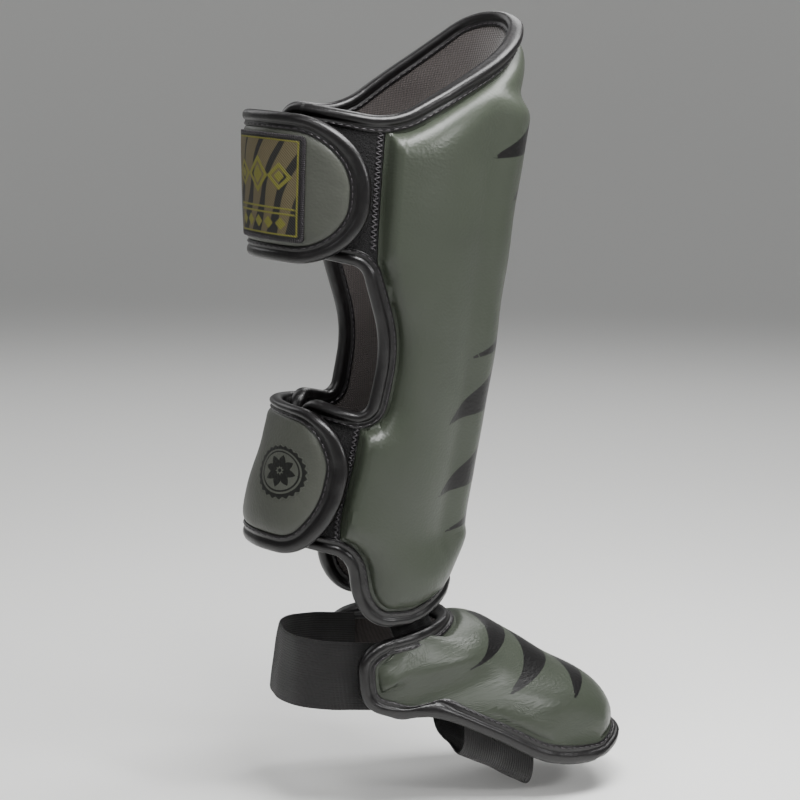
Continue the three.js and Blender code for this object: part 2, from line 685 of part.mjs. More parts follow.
// A strap with its binding and hook panel. Its root is folded thick and sewn to the inner wing.
function calfStrap(name, level, width, seamAt, tip) {
  const group = new THREE.Group();
  const outline = strapOutline(level, width, seamAt + STRAP_ROOT, tip);
  const lead = ((BINDING_LEG + GAP) * GIRTH) / legSection(level).girth;
  const slope = STRAP_IN - HOOK_IN;
  const rootStart = (seamAt + STRAP_ROOT) * GIRTH + lead + slope;
  const rootEnd = (seamAt + INNER_WING) * GIRTH - lead - slope;
  const inner = (p) => {
    const sewn = Math.min(p.a - rootStart, rootEnd - p.a, ROOT_HEIGHT / 2 - Math.abs(p.b - level));
    return sewn > -0.01 ? HOOK_IN : STRAP_IN;
  };
  const extraA = [rootStart - slope, rootStart, rootEnd, rootEnd + slope];
  const extraB = [-ROOT_HEIGHT / 2 - slope, -ROOT_HEIGHT / 2, ROOT_HEIGHT / 2, ROOT_HEIGHT / 2 + slope];
  const grid = { stepB: width * 2, extraA, extraB: extraB.map((b) => b + level) };
  const pastWing = (p) => p.a - (1 - OUTER_WING) * GIRTH - lead * 1.25;
  const hookOutline = subdivided(trimmed(inset(shinSurface, outline, HOOK_INSET), pastWing));
  const low = STRAP_IN - BINDING_WEB;
  const high = STRAP_OUT + BINDING_WEB;
  group.add(
    panel(name, shinSurface, outline, inner, evenly(STRAP_OUT), strapLeather(), grid),
    binding(`${name}_binding`, shinSurface, outline, low, high, trim()),
  );
  const hook = name.replace('strap', 'hook_panel');
  group.add(panel(hook, shinSurface, hookOutline, evenly(HOOK_IN), evenly(HOOK_OUT), hookFabric()));
  return group;
}

// Thin badge on the outside of a strap, a rectangle with round corners or a disc
function badge(name, share, level, width, height, bend, material) {
  const stretch = GIRTH / legSection(level).girth;
  const centre = share * GIRTH;
  const half = (width / 2) * stretch;
  const outline = rounded([
    { a: centre - half, b: level + height / 2, bend },
    { a: centre - half, b: level - height / 2, bend },
    { a: centre + half, b: level - height / 2, bend },
    { a: centre + half, b: level + height / 2, bend },
  ]);
  const inner = evenly(BADGE_IN);
  const outer = evenly(BADGE_IN + BADGE_THICKNESS);
  return panel(name, shinSurface, outline, inner, outer, material);
}

function calfStraps() {
  const group = new THREE.Group();
  const disc = SEAL_RADIUS * 2;
  group.add(
    calfStrap('upper_strap', UPPER_STRAP_LEVEL, UPPER_STRAP_WIDTH, UPPER_SEAM, UPPER_STRAP_TIP),
    calfStrap('lower_strap', LOWER_STRAP_LEVEL, LOWER_STRAP_WIDTH, LOWER_SEAM, LOWER_STRAP_TIP),
    badge('upper_strap_patch', PATCH_AT, UPPER_STRAP_LEVEL, PATCH_WIDTH, PATCH_HEIGHT, 3, wovenLabel()),
    badge('lower_strap_seal', SEAL_AT, LOWER_STRAP_LEVEL, disc, disc, SEAL_RADIUS, wovenLabel()),
  );
  return group;
}

// Instep

const instepOutline = rounded([
  { a: -INSTEP_ARCH, b: INSTEP_RUN, bend: 13 },
  { a: -INSTEP_ARCH, b: 0, bend: 24 },
  { a: INSTEP_ARCH, b: 0, bend: 24 },
  { a: INSTEP_ARCH, b: INSTEP_RUN, bend: 13 },
]);

// Valley that the bending foot presses into each side of the instep pad
function dent(p) {
  const off = (Math.abs(p.a) / INSTEP_ARCH - 0.5) / 0.12;
  const ahead = (p.b / INSTEP_RUN - 0.5) / 0.2;
  return DENT_DEPTH * Math.exp(-off * off - ahead * ahead);
}

function instepHeight() {
  const edgeDistance = distanceTo(instepSurface, instepOutline);
  return (p) => {
    const full = swell((edgeDistance(p) - PAD_MARGIN) / INSTEP_ROLL);
    return COVER_OUT + full * (INSTEP_RISE - dent(p));
  };
}

function instep() {
  const group = new THREE.Group();
  const rings = [PAD_MARGIN, PAD_MARGIN + INSTEP_ROLL * 0.35];
  const grid = { rings, stepA: 11, stepB: 15 };
  const under = evenly(COVER_IN);
  const low = BINDING_IN - BEND_EASE;
  const high = BINDING_OUT + BEND_EASE;
  group.add(
    panel('instep_pad', instepSurface, instepOutline, under, instepHeight(), leather(), grid),
    panel('instep_lining', instepSurface, instepOutline, evenly(0), evenly(LINING), liningFabric(), grid),
    binding('instep_binding', instepSurface, instepOutline, low, high, trim()),
  );
  return group;
}

// Elastic bands and fabric hinge, sewn inside the linings

const rectangle = (half, length) =>
  rounded([
    { a: -half, b: length, bend: 0 },
    { a: -half, b: 0, bend: 0 },
    { a: half, b: 0, bend: 0 },
    { a: half, b: length, bend: 0 },
  ]);

// Point of a flat U at a share of the way from its middle to an end: out to the side and up
function hoop(share, half, depth, bend) {
  const flat = half - bend;
  const arc = (bend * Math.PI) / 2;
  const distance = Math.abs(share) * (flat + arc + depth - bend);
  const side = Math.sign(share);
  if (distance <= flat) return { out: side * distance, up: 0 };
  const angle = (distance - flat) / bend;
  if (distance > flat + arc) return { out: side * half, up: bend + distance - flat - arc };
  return { out: side * (flat + bend * Math.sin(angle)), up: bend * (1 - Math.cos(angle)) };
}

// Round the back of the ankle. Across runs to the outer side of the leg, along runs up.
const ANKLE_ARCH = 95;

function ankleSurface(across, along) {
  const up = along / ANKLE_BAND;
  const share = across / ANKLE_ARCH;
  const collar = INSTEP[INSTEP.length - 1];
  const half = column(INSTEP, 'half', lerp(0.7, 1, up)) * INSTEP_WIDTH + BAND_OUT;
  const start = COLLAR_X + collar.side_x * INSTEP_LENGTH + BAND_OVERLAP;
  const depth = start + ANKLE_BACK + (1 - up) * ANKLE_BAND * 0.16;
  const place = hoop(share, half, depth, half * 0.85);
  const top = collar.side_z * INSTEP_DROP - COLLAR_DROP;
  const z = top - ANKLE_BAND + along + 4 * Math.cos((share * Math.PI) / 2);
  return new THREE.Vector3(start - depth + place.up, -place.out, z);
}

// Under the foot. Across runs to the inner side, along runs to the toes.
const FOOT_ARCH = 80;

function footSurface(across, along) {
  const edge = (at) => instepSurface(INSTEP_ARCH, at * INSTEP_RUN);
  const run = edge(FOOT_BAND_AT + 0.1).distanceTo(edge(FOOT_BAND_AT - 0.1)) / 0.2;
  const side = edge(FOOT_BAND_AT - (along - FOOT_BAND / 2) / run);
  const depth = BAND_OVERLAP + FOOT_BAND_DROP;
  const place = hoop(across / FOOT_ARCH, side.y + BAND_OUT, depth, FOOT_BAND_DROP * 0.8);
  return new THREE.Vector3(side.x, place.out, side.z - FOOT_BAND_DROP + place.up);
}

// From inside the lower edge of the shin shell to inside the collar of the instep
const LINK_HALF = 0.2 * GIRTH;
const LINK_LENGTH = 34;
const LINK_TUCK = 13;

function lowerEdge(across) {
  let level = SHIN_HEIGHT;
  shell.forEach((p, i) => {
    const next = shell[(i + 1) % shell.length];
    if ((p.a - across) * (next.a - across) > 0 || p.a === next.a) return;
    level = Math.min(level, lerp(p.b, next.b, (across - p.a) / (next.a - p.a)));
  });
  return level;
}

function linkSurface(across, along) {
  const share = across / LINK_HALF;
  const onShin = along - (LINK_LENGTH - LINK_TUCK);
  const onInstep = LINK_TUCK - along;
  const past = BINDING_WEB + GAP;
  const shin = shinSurface(across, lowerEdge(across) - past + Math.max(onShin, 0));
  const foot = instepSurface(share * 0.72 * INSTEP_ARCH, INSTEP_RUN + past - Math.max(onInstep, 0));
  if (onShin >= 0) return shin;
  if (onInstep >= 0) return foot;
  return foot.lerp(shin, -onInstep / (-onInstep - onShin));
}

function fabricBands() {
  const group = new THREE.Group();
  const outer = evenly(0);
  const inner = evenly(-ELASTIC);
  const linkOuter = evenly(LINK_OUT);
  const linkInner = evenly(LINK_OUT - LINK_THICKNESS);
  const ankleOutline = rectangle(ANKLE_ARCH, ANKLE_BAND);
  const footOutline = rectangle(FOOT_ARCH, FOOT_BAND);
  const linkOutline = rectangle(LINK_HALF, LINK_LENGTH);
  const linkGrid = { stepB: LINK_LENGTH * 2, extraB: [LINK_TUCK / 2, LINK_TUCK, LINK_LENGTH - LINK_TUCK] };
  group.add(
    panel('ankle_strap', ankleSurface, ankleOutline, inner, outer, elastic(), { stepA: 10 }),
    panel('foot_strap', footSurface, footOutline, inner, outer, elastic(), { stepA: 9 }),
    panel('ankle_link', linkSurface, linkOutline, linkInner, linkOuter, elastic(), linkGrid),
  );
  return group;
}

const guard = new THREE.Group();
guard.add(shinShell(), calfStraps(), instep(), fabricBands());

export default guard;
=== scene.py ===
"""Looks of a muay thai shin guard for the right leg, worn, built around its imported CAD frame.

Lengths are millimetres until a mesh is written. A place on a flat pattern is (across, along):
across runs round the leg or the foot, and along runs up.
"""

import logging
import math
from abc import ABC, abstractmethod
from dataclasses import dataclass, field
from enum import Enum
from typing import Callable, Optional, Sequence

import bpy
import numpy as np
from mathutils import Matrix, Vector, geometry
from mathutils.kdtree import KDTree


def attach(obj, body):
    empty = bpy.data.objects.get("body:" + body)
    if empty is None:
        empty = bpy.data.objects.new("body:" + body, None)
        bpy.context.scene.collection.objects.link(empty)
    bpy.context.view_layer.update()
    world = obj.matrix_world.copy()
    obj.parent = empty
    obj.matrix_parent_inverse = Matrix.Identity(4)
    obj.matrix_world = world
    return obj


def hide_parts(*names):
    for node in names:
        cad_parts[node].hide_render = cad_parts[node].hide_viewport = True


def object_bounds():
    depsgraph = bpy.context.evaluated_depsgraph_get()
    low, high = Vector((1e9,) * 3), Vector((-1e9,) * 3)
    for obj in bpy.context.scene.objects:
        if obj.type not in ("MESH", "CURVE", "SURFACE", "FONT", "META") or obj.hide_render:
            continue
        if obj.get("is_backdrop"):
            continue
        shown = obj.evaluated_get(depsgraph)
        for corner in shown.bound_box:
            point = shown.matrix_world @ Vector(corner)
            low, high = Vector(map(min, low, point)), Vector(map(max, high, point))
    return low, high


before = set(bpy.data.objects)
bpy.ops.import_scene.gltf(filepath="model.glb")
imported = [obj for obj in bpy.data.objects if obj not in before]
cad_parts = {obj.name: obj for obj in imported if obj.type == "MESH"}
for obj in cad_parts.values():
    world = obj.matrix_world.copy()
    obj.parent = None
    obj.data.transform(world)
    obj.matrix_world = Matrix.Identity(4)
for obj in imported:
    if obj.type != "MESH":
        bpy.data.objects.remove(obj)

Array = np.ndarray
MM = 0.001
log = logging.getLogger("shin_guard")


class Slot(Enum):
    """Material slots of the record, one named by each finish."""

    SHELL = "shell_leather"
    STRAP = "strap_leather"
    TRIM = "binding"
    LINING = "lining"
    LOOP = "loop_fabric"
    HOOK = "hook_fabric"
    BADGE = "woven_badge"
    ELASTIC = "elastic"


# ---------------------------------------------------------------- tables and curves

@dataclass(frozen=True)
class LegRow:
    """Hollow of the leg at one height, in shares of the shin height, calf depth and calf width."""

    at: float
    front: float
    middle: float
    back: float
    half: float


@dataclass(frozen=True)
class InstepRow:
    """Hollow of the instep at one share of the way from toe edge to collar."""

    at: float
    ridge_x: float
    ridge_z: float
    side_x: float
    side_z: float
    half: float


@dataclass(frozen=True)
class Corner:
    """Corner of the shin shell laid flat, with the radius of its bend."""

    round: float
    up: float
    bend: float


SHIN_HEIGHT = 374.0
CALF_DEPTH = 130.0
UPPER_LEVEL, UPPER_WIDTH = 261.0, 79.0
LOWER_LEVEL, LOWER_WIDTH = 90.0, 80.0

LEG = (
    LegRow(0.0, 0.345, -0.015, -0.35, 0.375),
    LegRow(0.09, 0.355, -0.06, -0.42, 0.4),
    LegRow(0.17, 0.24, -0.105, -0.48, 0.41),
    LegRow(0.285, 0.238, -0.12, -0.43, 0.415),
    LegRow(0.36, 0.245, -0.135, -0.42, 0.42),
    LegRow(0.48, 0.248, -0.175, -0.52, 0.455),
    LegRow(0.6, 0.245, -0.21, -0.63, 0.485),
    LegRow(0.71, 0.245, -0.24, -0.69, 0.5),
    LegRow(0.82, 0.248, -0.27, -0.735, 0.51),
    LegRow(0.885, 0.262, -0.285, -0.76, 0.515),
    LegRow(0.94, 0.295, -0.3, -0.78, 0.52),
    LegRow(1.03, 0.33, -0.315, -0.8, 0.53),
)

INSTEP = (
    InstepRow(0.0, 1.0, -0.8, 0.74, -0.885, 0.425),
    InstepRow(0.12, 0.885, -0.62, 0.49, -0.79, 0.49),
    InstepRow(0.26, 0.755, -0.505, 0.205, -0.615, 0.5),
    InstepRow(0.42, 0.59, -0.39, -0.107, -0.455, 0.5),
    InstepRow(0.58, 0.42, -0.27, -0.375, -0.425, 0.495),
    InstepRow(0.74, 0.26, -0.15, -0.5, -0.345, 0.49),
    InstepRow(0.88, 0.12, -0.045, -0.527, -0.175, 0.48),
    InstepRow(1.0, 0.0, 0.031, -0.509, -0.01, 0.468),
)

OUTER_WING = 0.44
LOWER_SEAM = 0.297
UPPER_SEAM = 0.272
INNER_WING = 0.11

SHELL = (
    Corner(-OUTER_WING, 0.822, 15),
    Corner(-OUTER_WING, 0.605, 15),
    Corner(-0.29, 0.595, 10),
    Corner(-0.256, 0.47, 70),
    Corner(-0.284, 0.35, 12),
    Corner(-OUTER_WING, 0.362, 15),
    Corner(-OUTER_WING, 0.143, 15),
    Corner(-0.287, 0.135, 10),
    Corner(-0.289, 0.02, 24),
    Corner(-0.16, 0.03, 60),
    Corner(0.0, 0.1, 60),
    Corner(0.16, 0.03, 60),
    Corner(0.289, 0.02, 24),
    Corner(0.287, 0.135, 10),
    Corner(LOWER_SEAM + INNER_WING, 0.143, 14),
    Corner(LOWER_SEAM + INNER_WING, 0.36, 14),
    Corner(0.284, 0.35, 12),
    Corner(0.256, 0.47, 70),
    Corner(0.29, 0.595, 10),
    Corner(UPPER_SEAM + INNER_WING, 0.605, 14),
    Corner(UPPER_SEAM + INNER_WING, 0.825, 14),
    Corner(0.275, 0.828, 40),
    Corner(0.085, 1.025, 36),
    Corner(0.0, 1.01, 50),
    Corner(-0.262, 0.812, 40),
)


def column(rows: Sequence, name: str, at: Array) -> Array:
    """Reads one column of a table on a smooth curve through its rows.

    Args:
        rows: The rows of the table, in the order of their at.
        name: The column.
        at: Where to read it.

    Returns:
        The values there.
    """
    xs = np.array([row.at for row in rows])
    ys = np.array([getattr(row, name) for row in rows])
    slopes = np.empty(len(rows))
    slopes[1:-1] = (ys[2:] - ys[:-2]) / (xs[2:] - xs[:-2])
    slopes[0] = (ys[1] - ys[0]) / (xs[1] - xs[0])
    slopes[-1] = (ys[-1] - ys[-2]) / (xs[-1] - xs[-2])
    i = np.searchsorted(xs[1:-1], at, side="left")
    span = xs[i + 1] - xs[i]
    t = np.clip((at - xs[i]) / span, 0, 1)
    rest = 1 - t
    return (
        ys[i] * (1 + 2 * t) * rest * rest
        + slopes[i] * span * t * rest * rest
        + ys[i + 1] * t * t * (3 - 2 * t)
        - slopes[i + 1] * span * t * t * rest
    )


def swell(share: Array) -> Array:
    """Quarter-round rise from 0 to 1, as a stuffed edge has."""
    rest = 1 - np.clip(share, 0, 1)
    return np.sqrt(1 - rest * rest)


def eased(share: Array) -> Array:
    """Soft rise from 0 to 1, as foam under a tight skin has."""
    t = np.clip(share, 0, 1)
    return t * t * (3 - 2 * t)


def bell(offset: Array, reach: float) -> Array:
    """Bump of height 1 that fades to about a third over its reach."""
    return np.exp(-((offset / reach) ** 2))


@dataclass(frozen=True)
class Ripples:
    """Uneven waves of cloth or leather, the same at every run."""

    seed: int
    length: float
    height: float
    count: int = 7
    spread: tuple[float, float] = (0.7, 1.4)  # shortest and longest wave, share of the length

    def at(self, x: Array, y: Array | float = 0.0) -> Array:
        """Height of the waves at places in millimetres."""
        chance = np.random.default_rng(self.seed)
        total = np.zeros_like(x)
        for _ in range(self.count):
            turn, phase = chance.uniform(0, 2 * math.pi, 2)
            number = 2 * math.pi / (self.length * chance.uniform(*self.spread))
            total = total + np.sin(number * (x * math.cos(turn) + y * math.sin(turn)) + phase)
        return self.height * total / math.sqrt(self.count)

    def over(self, spots: Array) -> Array:
        """Height of the waves at spots on a flat pattern."""
        return self.at(spots[:, 0], spots[:, 1])


# ---------------------------------------------------------------- surfaces


def unit(vectors: Array) -> Array:
    """The vectors, one per row, at length 1."""
    return vectors / np.linalg.norm(vectors, axis=1, keepdims=True)


class Surface(ABC):
    """A curved face that flat patterns are laid on."""

    probe = 0.5  # step on the pattern that directions are measured over

    @abstractmethod
    def place(self, spots: Array) -> Array:
        """Points in space of spots on the flat pattern."""

    def frame(self, spots: Array) -> tuple[Array, Array, Array]:
        """Directions at spots on the pattern.

        Args:
            spots: Places on the flat pattern, one per row.

        Returns:
            Steps across and along for a millimetre of pattern, and the outward normal.
        """
        across, along = (
            (self.place(spots + step) - self.place(spots - step)) / (2 * self.probe)
            for step in self.probe * np.eye(2)
        )
        return across, along, unit(np.cross(across, along))

    def lifted(self, spots: Array, height: Array | float) -> Array:
        """Points at a height over spots on the pattern."""
        normal = self.frame(spots)[2]
        return self.place(spots) + normal * np.reshape(height, (-1, 1))

    def inward(self, ring: Array, distance: float) -> Array:
        """Moves a closed ring of spots inward by a distance in space.

        Args:
            ring: Spots in anticlockwise order.
            distance: How far inward, negative for outward.

        Returns:
            The moved spots.
        """
        if distance == 0:
            return ring
        across, along, normal = self.frame(ring)
        edge = self.place(np.roll(ring, -1, 0)) - self.place(np.roll(ring, 1, 0))
        inside = unit(np.cross(normal, edge))
        aa = (across * across).sum(1)
        ab = (across * along).sum(1)
        bb = (along * along).sum(1)
        ia = (inside * across).sum(1)
        ib = (inside * along).sum(1)
        size = aa * bb - ab * ab
        step = np.column_stack([(ia * bb - ib * ab) / size, (ib * aa - ia * ab) / size])
        reached = np.linalg.norm(self.place(ring + step * distance) - self.place(ring), axis=1)
        return ring + step * (distance * abs(distance) / reached)[:, None]


@dataclass
class LegHollow(Surface):
    """Hollow of the shin shell. Across is measured at the girth under the upper strap."""

    height: float = SHIN_HEIGHT
    depth: float = CALF_DEPTH
    width: float = 112.0
    lean: float = math.radians(8.5)
    arc_steps: int = 40
    girth: float = field(init=False)

    def __post_init__(self) -> None:
        """Measures the girth that shares of the way round are shares of."""
        self.girth = self.girth_at(UPPER_LEVEL)

    def girth_at(self, level: float) -> float:
        """Way round the leg at a height."""
        return float(self.section(np.array([level]))["girth"][0])

    def stretch(self, level: float) -> float:
        """Pattern millimetres across for one millimetre round the leg at a height."""
        return self.girth / self.girth_at(level)

    def quarter(self, depth: Array, half: Array) -> Array:
        """Running lengths along quarter ellipses, from the depth axis to the widest point."""
        turn = np.linspace(0, math.pi / 2, self.arc_steps + 1)
        across = half[:, None] * np.diff(np.sin(turn))
        deep = depth[:, None] * -np.diff(np.cos(turn))
        runs = np.cumsum(np.hypot(across, deep), axis=1)
        return np.hstack([np.zeros((len(depth), 1)), runs])

    def angle(self, lengths: Array, distance: Array) -> Array:
        """Angles on the quarter ellipses at running distances."""
        i = 1 + (lengths[:, 1:-1] < distance[:, None]).sum(1)
        rows = np.arange(len(i))
        low, high = lengths[rows, i - 1], lengths[rows, i]
        return (i - 1 + (distance - low) / (high - low)) * math.pi / 2 / self.arc_steps

    def section(self, z: Array) -> dict[str, Array]:
        """Sizes of the section of the leg at heights."""
        at = z / self.height
        front, middle, back = (column(LEG, name, at) * self.depth for name in ("front", "middle", "back"))
        half = column(LEG, "half", at) * self.width
        ahead = self.quarter(front - middle, half)
        behind = self.quarter(middle - back, half)
        return {
            "x": middle + z * math.tan(self.lean),
            "ahead": ahead,
            "behind": behind,
            "girth": 2 * (ahead[:, -1] + behind[:, -1]),
            "depth": front - middle,
            "hind": middle - back,
            "half": half,
        }

    def place(self, spots: Array) -> Array:
        """Points of the hollow. Its sections stand square to the leaning leg."""
        section = self.section(spots[:, 1])
        turns = spots[:, 0] / self.girth
        share = turns - np.round(turns)
        distance = np.abs(share) * section["girth"]
        is_ahead = distance <= section["ahead"][:, -1]
        ahead = self.angle(section["ahead"], np.where(is_ahead, distance, 0.0))
        rest = section["girth"] / 2 - distance
        behind = self.angle(section["behind"], np.where(is_ahead, 0.0, rest))
        turn = np.where(is_ahead, ahead, behind)
        forward = np.where(is_ahead, section["depth"], -section["hind"]) * np.cos(turn)
        out = np.sign(share) * section["half"] * np.sin(turn)
        x = section["x"] + forward * math.cos(self.lean)
        return np.column_stack([x, out, spots[:, 1] - forward * math.sin(self.lean)])


@dataclass
class InstepHollow(Surface):
    """Hollow of the instep. Along runs from the toe edge up to the collar."""

    length: float = 112.0
    drop: float = 96.0
    width: float = 94.0
    collar_x: float = LEG[0].front * CALF_DEPTH + 7.0  # just ahead of the shin shell's lower edge
    collar_drop: float = 6.0
    arch_share: float = 0.8

    @property
    def run(self) -> float:
        """Toe edge to collar on the flat pattern."""
        return math.hypot(self.length, self.drop)

    @property
    def arch(self) -> float:
        """Ridge to side edge on the flat pattern."""
        return self.width * self.arch_share

    def place(self, spots: Array) -> Array:
        """Points of the hollow."""
        at = np.clip(spots[:, 1] / self.run, 0, 1)
        ridge_x = self.collar_x + column(INSTEP, "ridge_x", at) * self.length
        ridge_z = column(INSTEP, "ridge_z", at) * self.drop
        side_x = self.collar_x + column(INSTEP, "side_x", at) * self.length
        side_z = column(INSTEP, "side_z", at) * self.drop
        half = column(INSTEP, "half", at) * self.width
        turn = spots[:, 0] / self.arch * math.pi / 2
        fall = 1 - np.cos(turn)
        beyond = (spots[:, 1] - at * self.run) / self.run
        x = ridge_x + (side_x - ridge_x) * fall - self.length * beyond
        z = ridge_z + (side_z - ridge_z) * fall - self.collar_drop + self.drop * beyond
        return np.column_stack([x, half * np.sin(turn), z])


def hoop(share: Array, half: Array, depth: Array | float, bend: Array | float) -> tuple[Array, Array]:
    """Points of a flat U at shares of the way from its middle to an end.

    Args:
        share: Signed share of the way.
        half: Half of the width of the U.
        depth: How deep the U is.
        bend: Radius of its bends.

    Returns:
        How far out to the side and how far up.
    """
    flat = half - bend
    arc = bend * math.pi / 2
    distance = np.abs(share) * (flat + arc + depth - bend)
    turn = np.clip((distance - flat) / bend, 0, math.pi / 2)
    past = np.maximum(distance - flat - arc, 0)
    out = np.where(distance <= flat, distance, flat + bend * np.sin(turn))
    return np.sign(share) * out, bend * (1 - np.cos(turn)) + past


@dataclass
class AnkleLoop(Surface):
    """Round the back of the ankle. Across runs to the outer side of the leg."""

    instep: InstepHollow
    inset: float
    band: float = 41.0
    arch: float = 95.0
    back: float = 47.0
    overlap: float = 13.0
    low_share: float = 0.7  # of the way up the instep, at the lower edge of the band
    up_share: float = 0.3  # from there to its upper edge
    flare: float = 0.16  # how far its lower edge stands back, share of its width
    bow: float = 4.0  # how far its middle stands over its ends
    bend_share: float = 0.85

    def place(self, spots: Array) -> Array:
        """Points of the band."""
        up = spots[:, 1] / self.band
        share = spots[:, 0] / self.arch
        collar = INSTEP[-1]
        at = self.low_share + self.up_share * up
        half = column(INSTEP, "half", at) * self.instep.width + self.inset
        start = self.instep.collar_x + collar.side_x * self.instep.length + self.overlap
        depth = start + self.back + (1 - up) * self.band * self.flare
        out, forward = hoop(share, half, depth, half * self.bend_share)
        top = collar.side_z * self.instep.drop - self.instep.collar_drop
        z = top - self.band + spots[:, 1] + self.bow * np.cos(share * math.pi / 2)
        return np.column_stack([start - depth + forward, -out, z])


@dataclass
class FootLoop(Surface):
    """Under the foot. Across runs to the inner side and along runs to the toes."""

    instep: InstepHollow
    inset: float
    band: float = 50.0
    arch: float = 80.0
    at: float = 0.235
    drop: float = 28.0
    overlap: float = 13.0
    bend_share: float = 0.8
    near: float = 0.1  # share of the instep's run to each side, over which its edge is measured

    def edge(self, at: Array) -> Array:
        """Points of the side edge of the instep."""
        spots = np.column_stack([np.full(len(at), self.instep.arch), at * self.instep.run])
        return self.instep.place(spots)

    def place(self, spots: Array) -> Array:
        """Points of the band."""
        ends = self.edge(np.array([self.at + self.near, self.at - self.near]))
        run = float(np.linalg.norm(ends[0] - ends[1])) / (2 * self.near)
        side = self.edge(self.at - (spots[:, 1] - self.band / 2) / run)
        share, half = spots[:, 0] / self.arch, side[:, 1] + self.inset
        out, up = hoop(share, half, self.overlap + self.drop, self.drop * self.bend_share)
        return np.column_stack([side[:, 0], out, side[:, 2] - self.drop + up])


@dataclass
class LinkFold(Surface):
    """Fabric hinge from inside the shin shell to inside the collar of the instep."""

    leg: LegHollow
    instep: InstepHollow
    shell: Array
    past: float
    length: float = 34.0
    tuck: float = 13.0
    width_share: float = 0.2  # half of the width, share of the leg's girth
    narrowing: float = 0.72
    tiny: float = 1e-9  # keeps a share from being divided by nothing

    @property
    def half(self) -> float:
        """Half of the width on the flat pattern."""
        return self.width_share * self.leg.girth

    def lower_edge(self, across: Array) -> Array:
        """Heights of the lower edge of the shell."""
        after = np.roll(self.shell, -1, 0)
        level = np.full(len(across), self.leg.height)
        for (a, b), (next_a, next_b) in zip(self.shell, after):
            if a == next_a:
                continue
            crosses = (a - across) * (next_a - across) <= 0
            here = b + (next_b - b) * (across - a) / (next_a - a)
            level = np.where(crosses, np.minimum(level, here), level)
        return level

    def place(self, spots: Array) -> Array:
        """Points of the fold."""
        share = spots[:, 0] / self.half
        on_shin = spots[:, 1] - (self.length - self.tuck)
        on_instep = self.tuck - spots[:, 1]
        level = self.lower_edge(spots[:, 0]) - self.past + np.maximum(on_shin, 0)
        shin = self.leg.place(np.column_stack([spots[:, 0], level]))
        reach = self.instep.run + self.past - np.maximum(on_instep, 0)
        foot = self.instep.place(np.column_stack([share * self.narrowing * self.instep.arch, reach]))
        mix = np.clip(-on_instep / (-on_instep - on_shin + self.tiny), 0, 1)
        mix = np.where(on_shin >= 0, 1.0, np.where(on_instep >= 0, 0.0, mix))
        return foot + (shin - foot) * mix[:, None]


# ---------------------------------------------------------------- outlines and nets

BEND_STEP = 1.2  # between points round a bend
FEWEST_POINTS = 8
OUTLINE_STEP = 1.5  # between points of an outline that others are cut from
EDGE_STEP = 0.8  # between the samples that distances are measured from
ROW_SHARE = 0.985  # a spot of a row that is nearer the edge than this share is left out
GRID_SHARE = 0.55  # of the spacing, kept clear between the rows and the grid
INSIDE_BORDER = 1  # the triangulation keeps what its border encloses
SAME_SPOT = 1e-5


def run_along(points: Array) -> Array:
    """Running length at each point of an open line."""
    return np.concatenate([[0.0], np.cumsum(np.linalg.norm(np.diff(points, axis=0), axis=1))])


def sampled(line: Array, run: Array, at: Array) -> Array:
    """Spots on a line at running lengths."""
    return np.column_stack([np.interp(at, run, line[:, k]) for k in (0, 1)])


def rounded(corners: Sequence[tuple[float, float, float]]) -> Array:
    """Closed outline through corners with round bends.

    Args:
        corners: Place across, place along and bend radius of each corner, anticlockwise.

    Returns:
        The outline.
    """
    points = np.array([corner[:2] for corner in corners], float)
    arrive = unit(points - np.roll(points, 1, 0))
    leave = np.roll(arrive, -1, 0)
    outline = []
    for point, before, after, (_, _, bend) in zip(points, arrive, leave, corners):
        turn = math.atan2(before[0] * after[1] - before[1] * after[0], before @ after)
        start = point - before * bend * math.tan(abs(turn) / 2)
        side = np.array([-before[1], before[0]]) * math.copysign(1.0, turn)
        centre = start + side * bend
        arm = start - centre
        steps = max(2, math.ceil(abs(turn) * bend / BEND_STEP))
        for k in range(steps + 1):
            c, s = math.cos(turn * k / steps), math.sin(turn * k / steps)
            outline.append(centre + np.array([c * arm[0] - s * arm[1], s * arm[0] + c * arm[1]]))
    return np.array(outline)


def panel(left: float, right: float, low: float, high: float, bends: Sequence[float]) -> Array:
    """Outline of a panel with four corners.

    Args:
        left: Place across of its first side.
        right: Place across of the side opposite.
        low: Place along of its lower edge.
        high: Place along of its upper edge.
        bends: Radii at its corners, anticlockwise from the upper left one.

    Returns:
        The outline.
    """
    corners = ((left, high), (left, low), (right, low), (right, high))
    return rounded([(*corner, bend) for corner, bend in zip(corners, bends)])


def evenly(outline: Array, spacing: float) -> Array:
    """Even points round a closed outline, at about that spacing."""
    closed = np.vstack([outline, outline[:1]])
    run = run_along(closed)
    count = max(FEWEST_POINTS, round(run[-1] / spacing))
    return sampled(closed, run, np.arange(count) * run[-1] / count)


def trimmed(outline: Array, keep: Callable[[Array], Array]) -> Array:
    """The part of an outline where keep is positive, closed straight across the cut."""
    here = keep(outline)
    there = np.roll(here, -1)
    after = np.roll(outline, -1, 0)
    kept = []
    for spot, following, one, two in zip(outline, after, here, there):
        if one > 0:
            kept.append(spot)
        if (one > 0) != (two > 0):
            kept.append(spot + (following - spot) * one / (one - two))
    return np.array(kept)


def within(outline: Array, spots: Array) -> Array:
    """Which spots lie inside a closed outline."""
    after = np.roll(outline, -1, 0)
    result = np.zeros(len(spots), bool)
    for (a, b), (next_a, next_b) in zip(outline, after):
        if b == next_b:
            continue
        spans = (b > spots[:, 1]) != (next_b > spots[:, 1])
        crossing = a + (next_a - a) * (spots[:, 1] - b) / (next_b - b)
        result ^= spans & (spots[:, 0] < crossing)
    return result


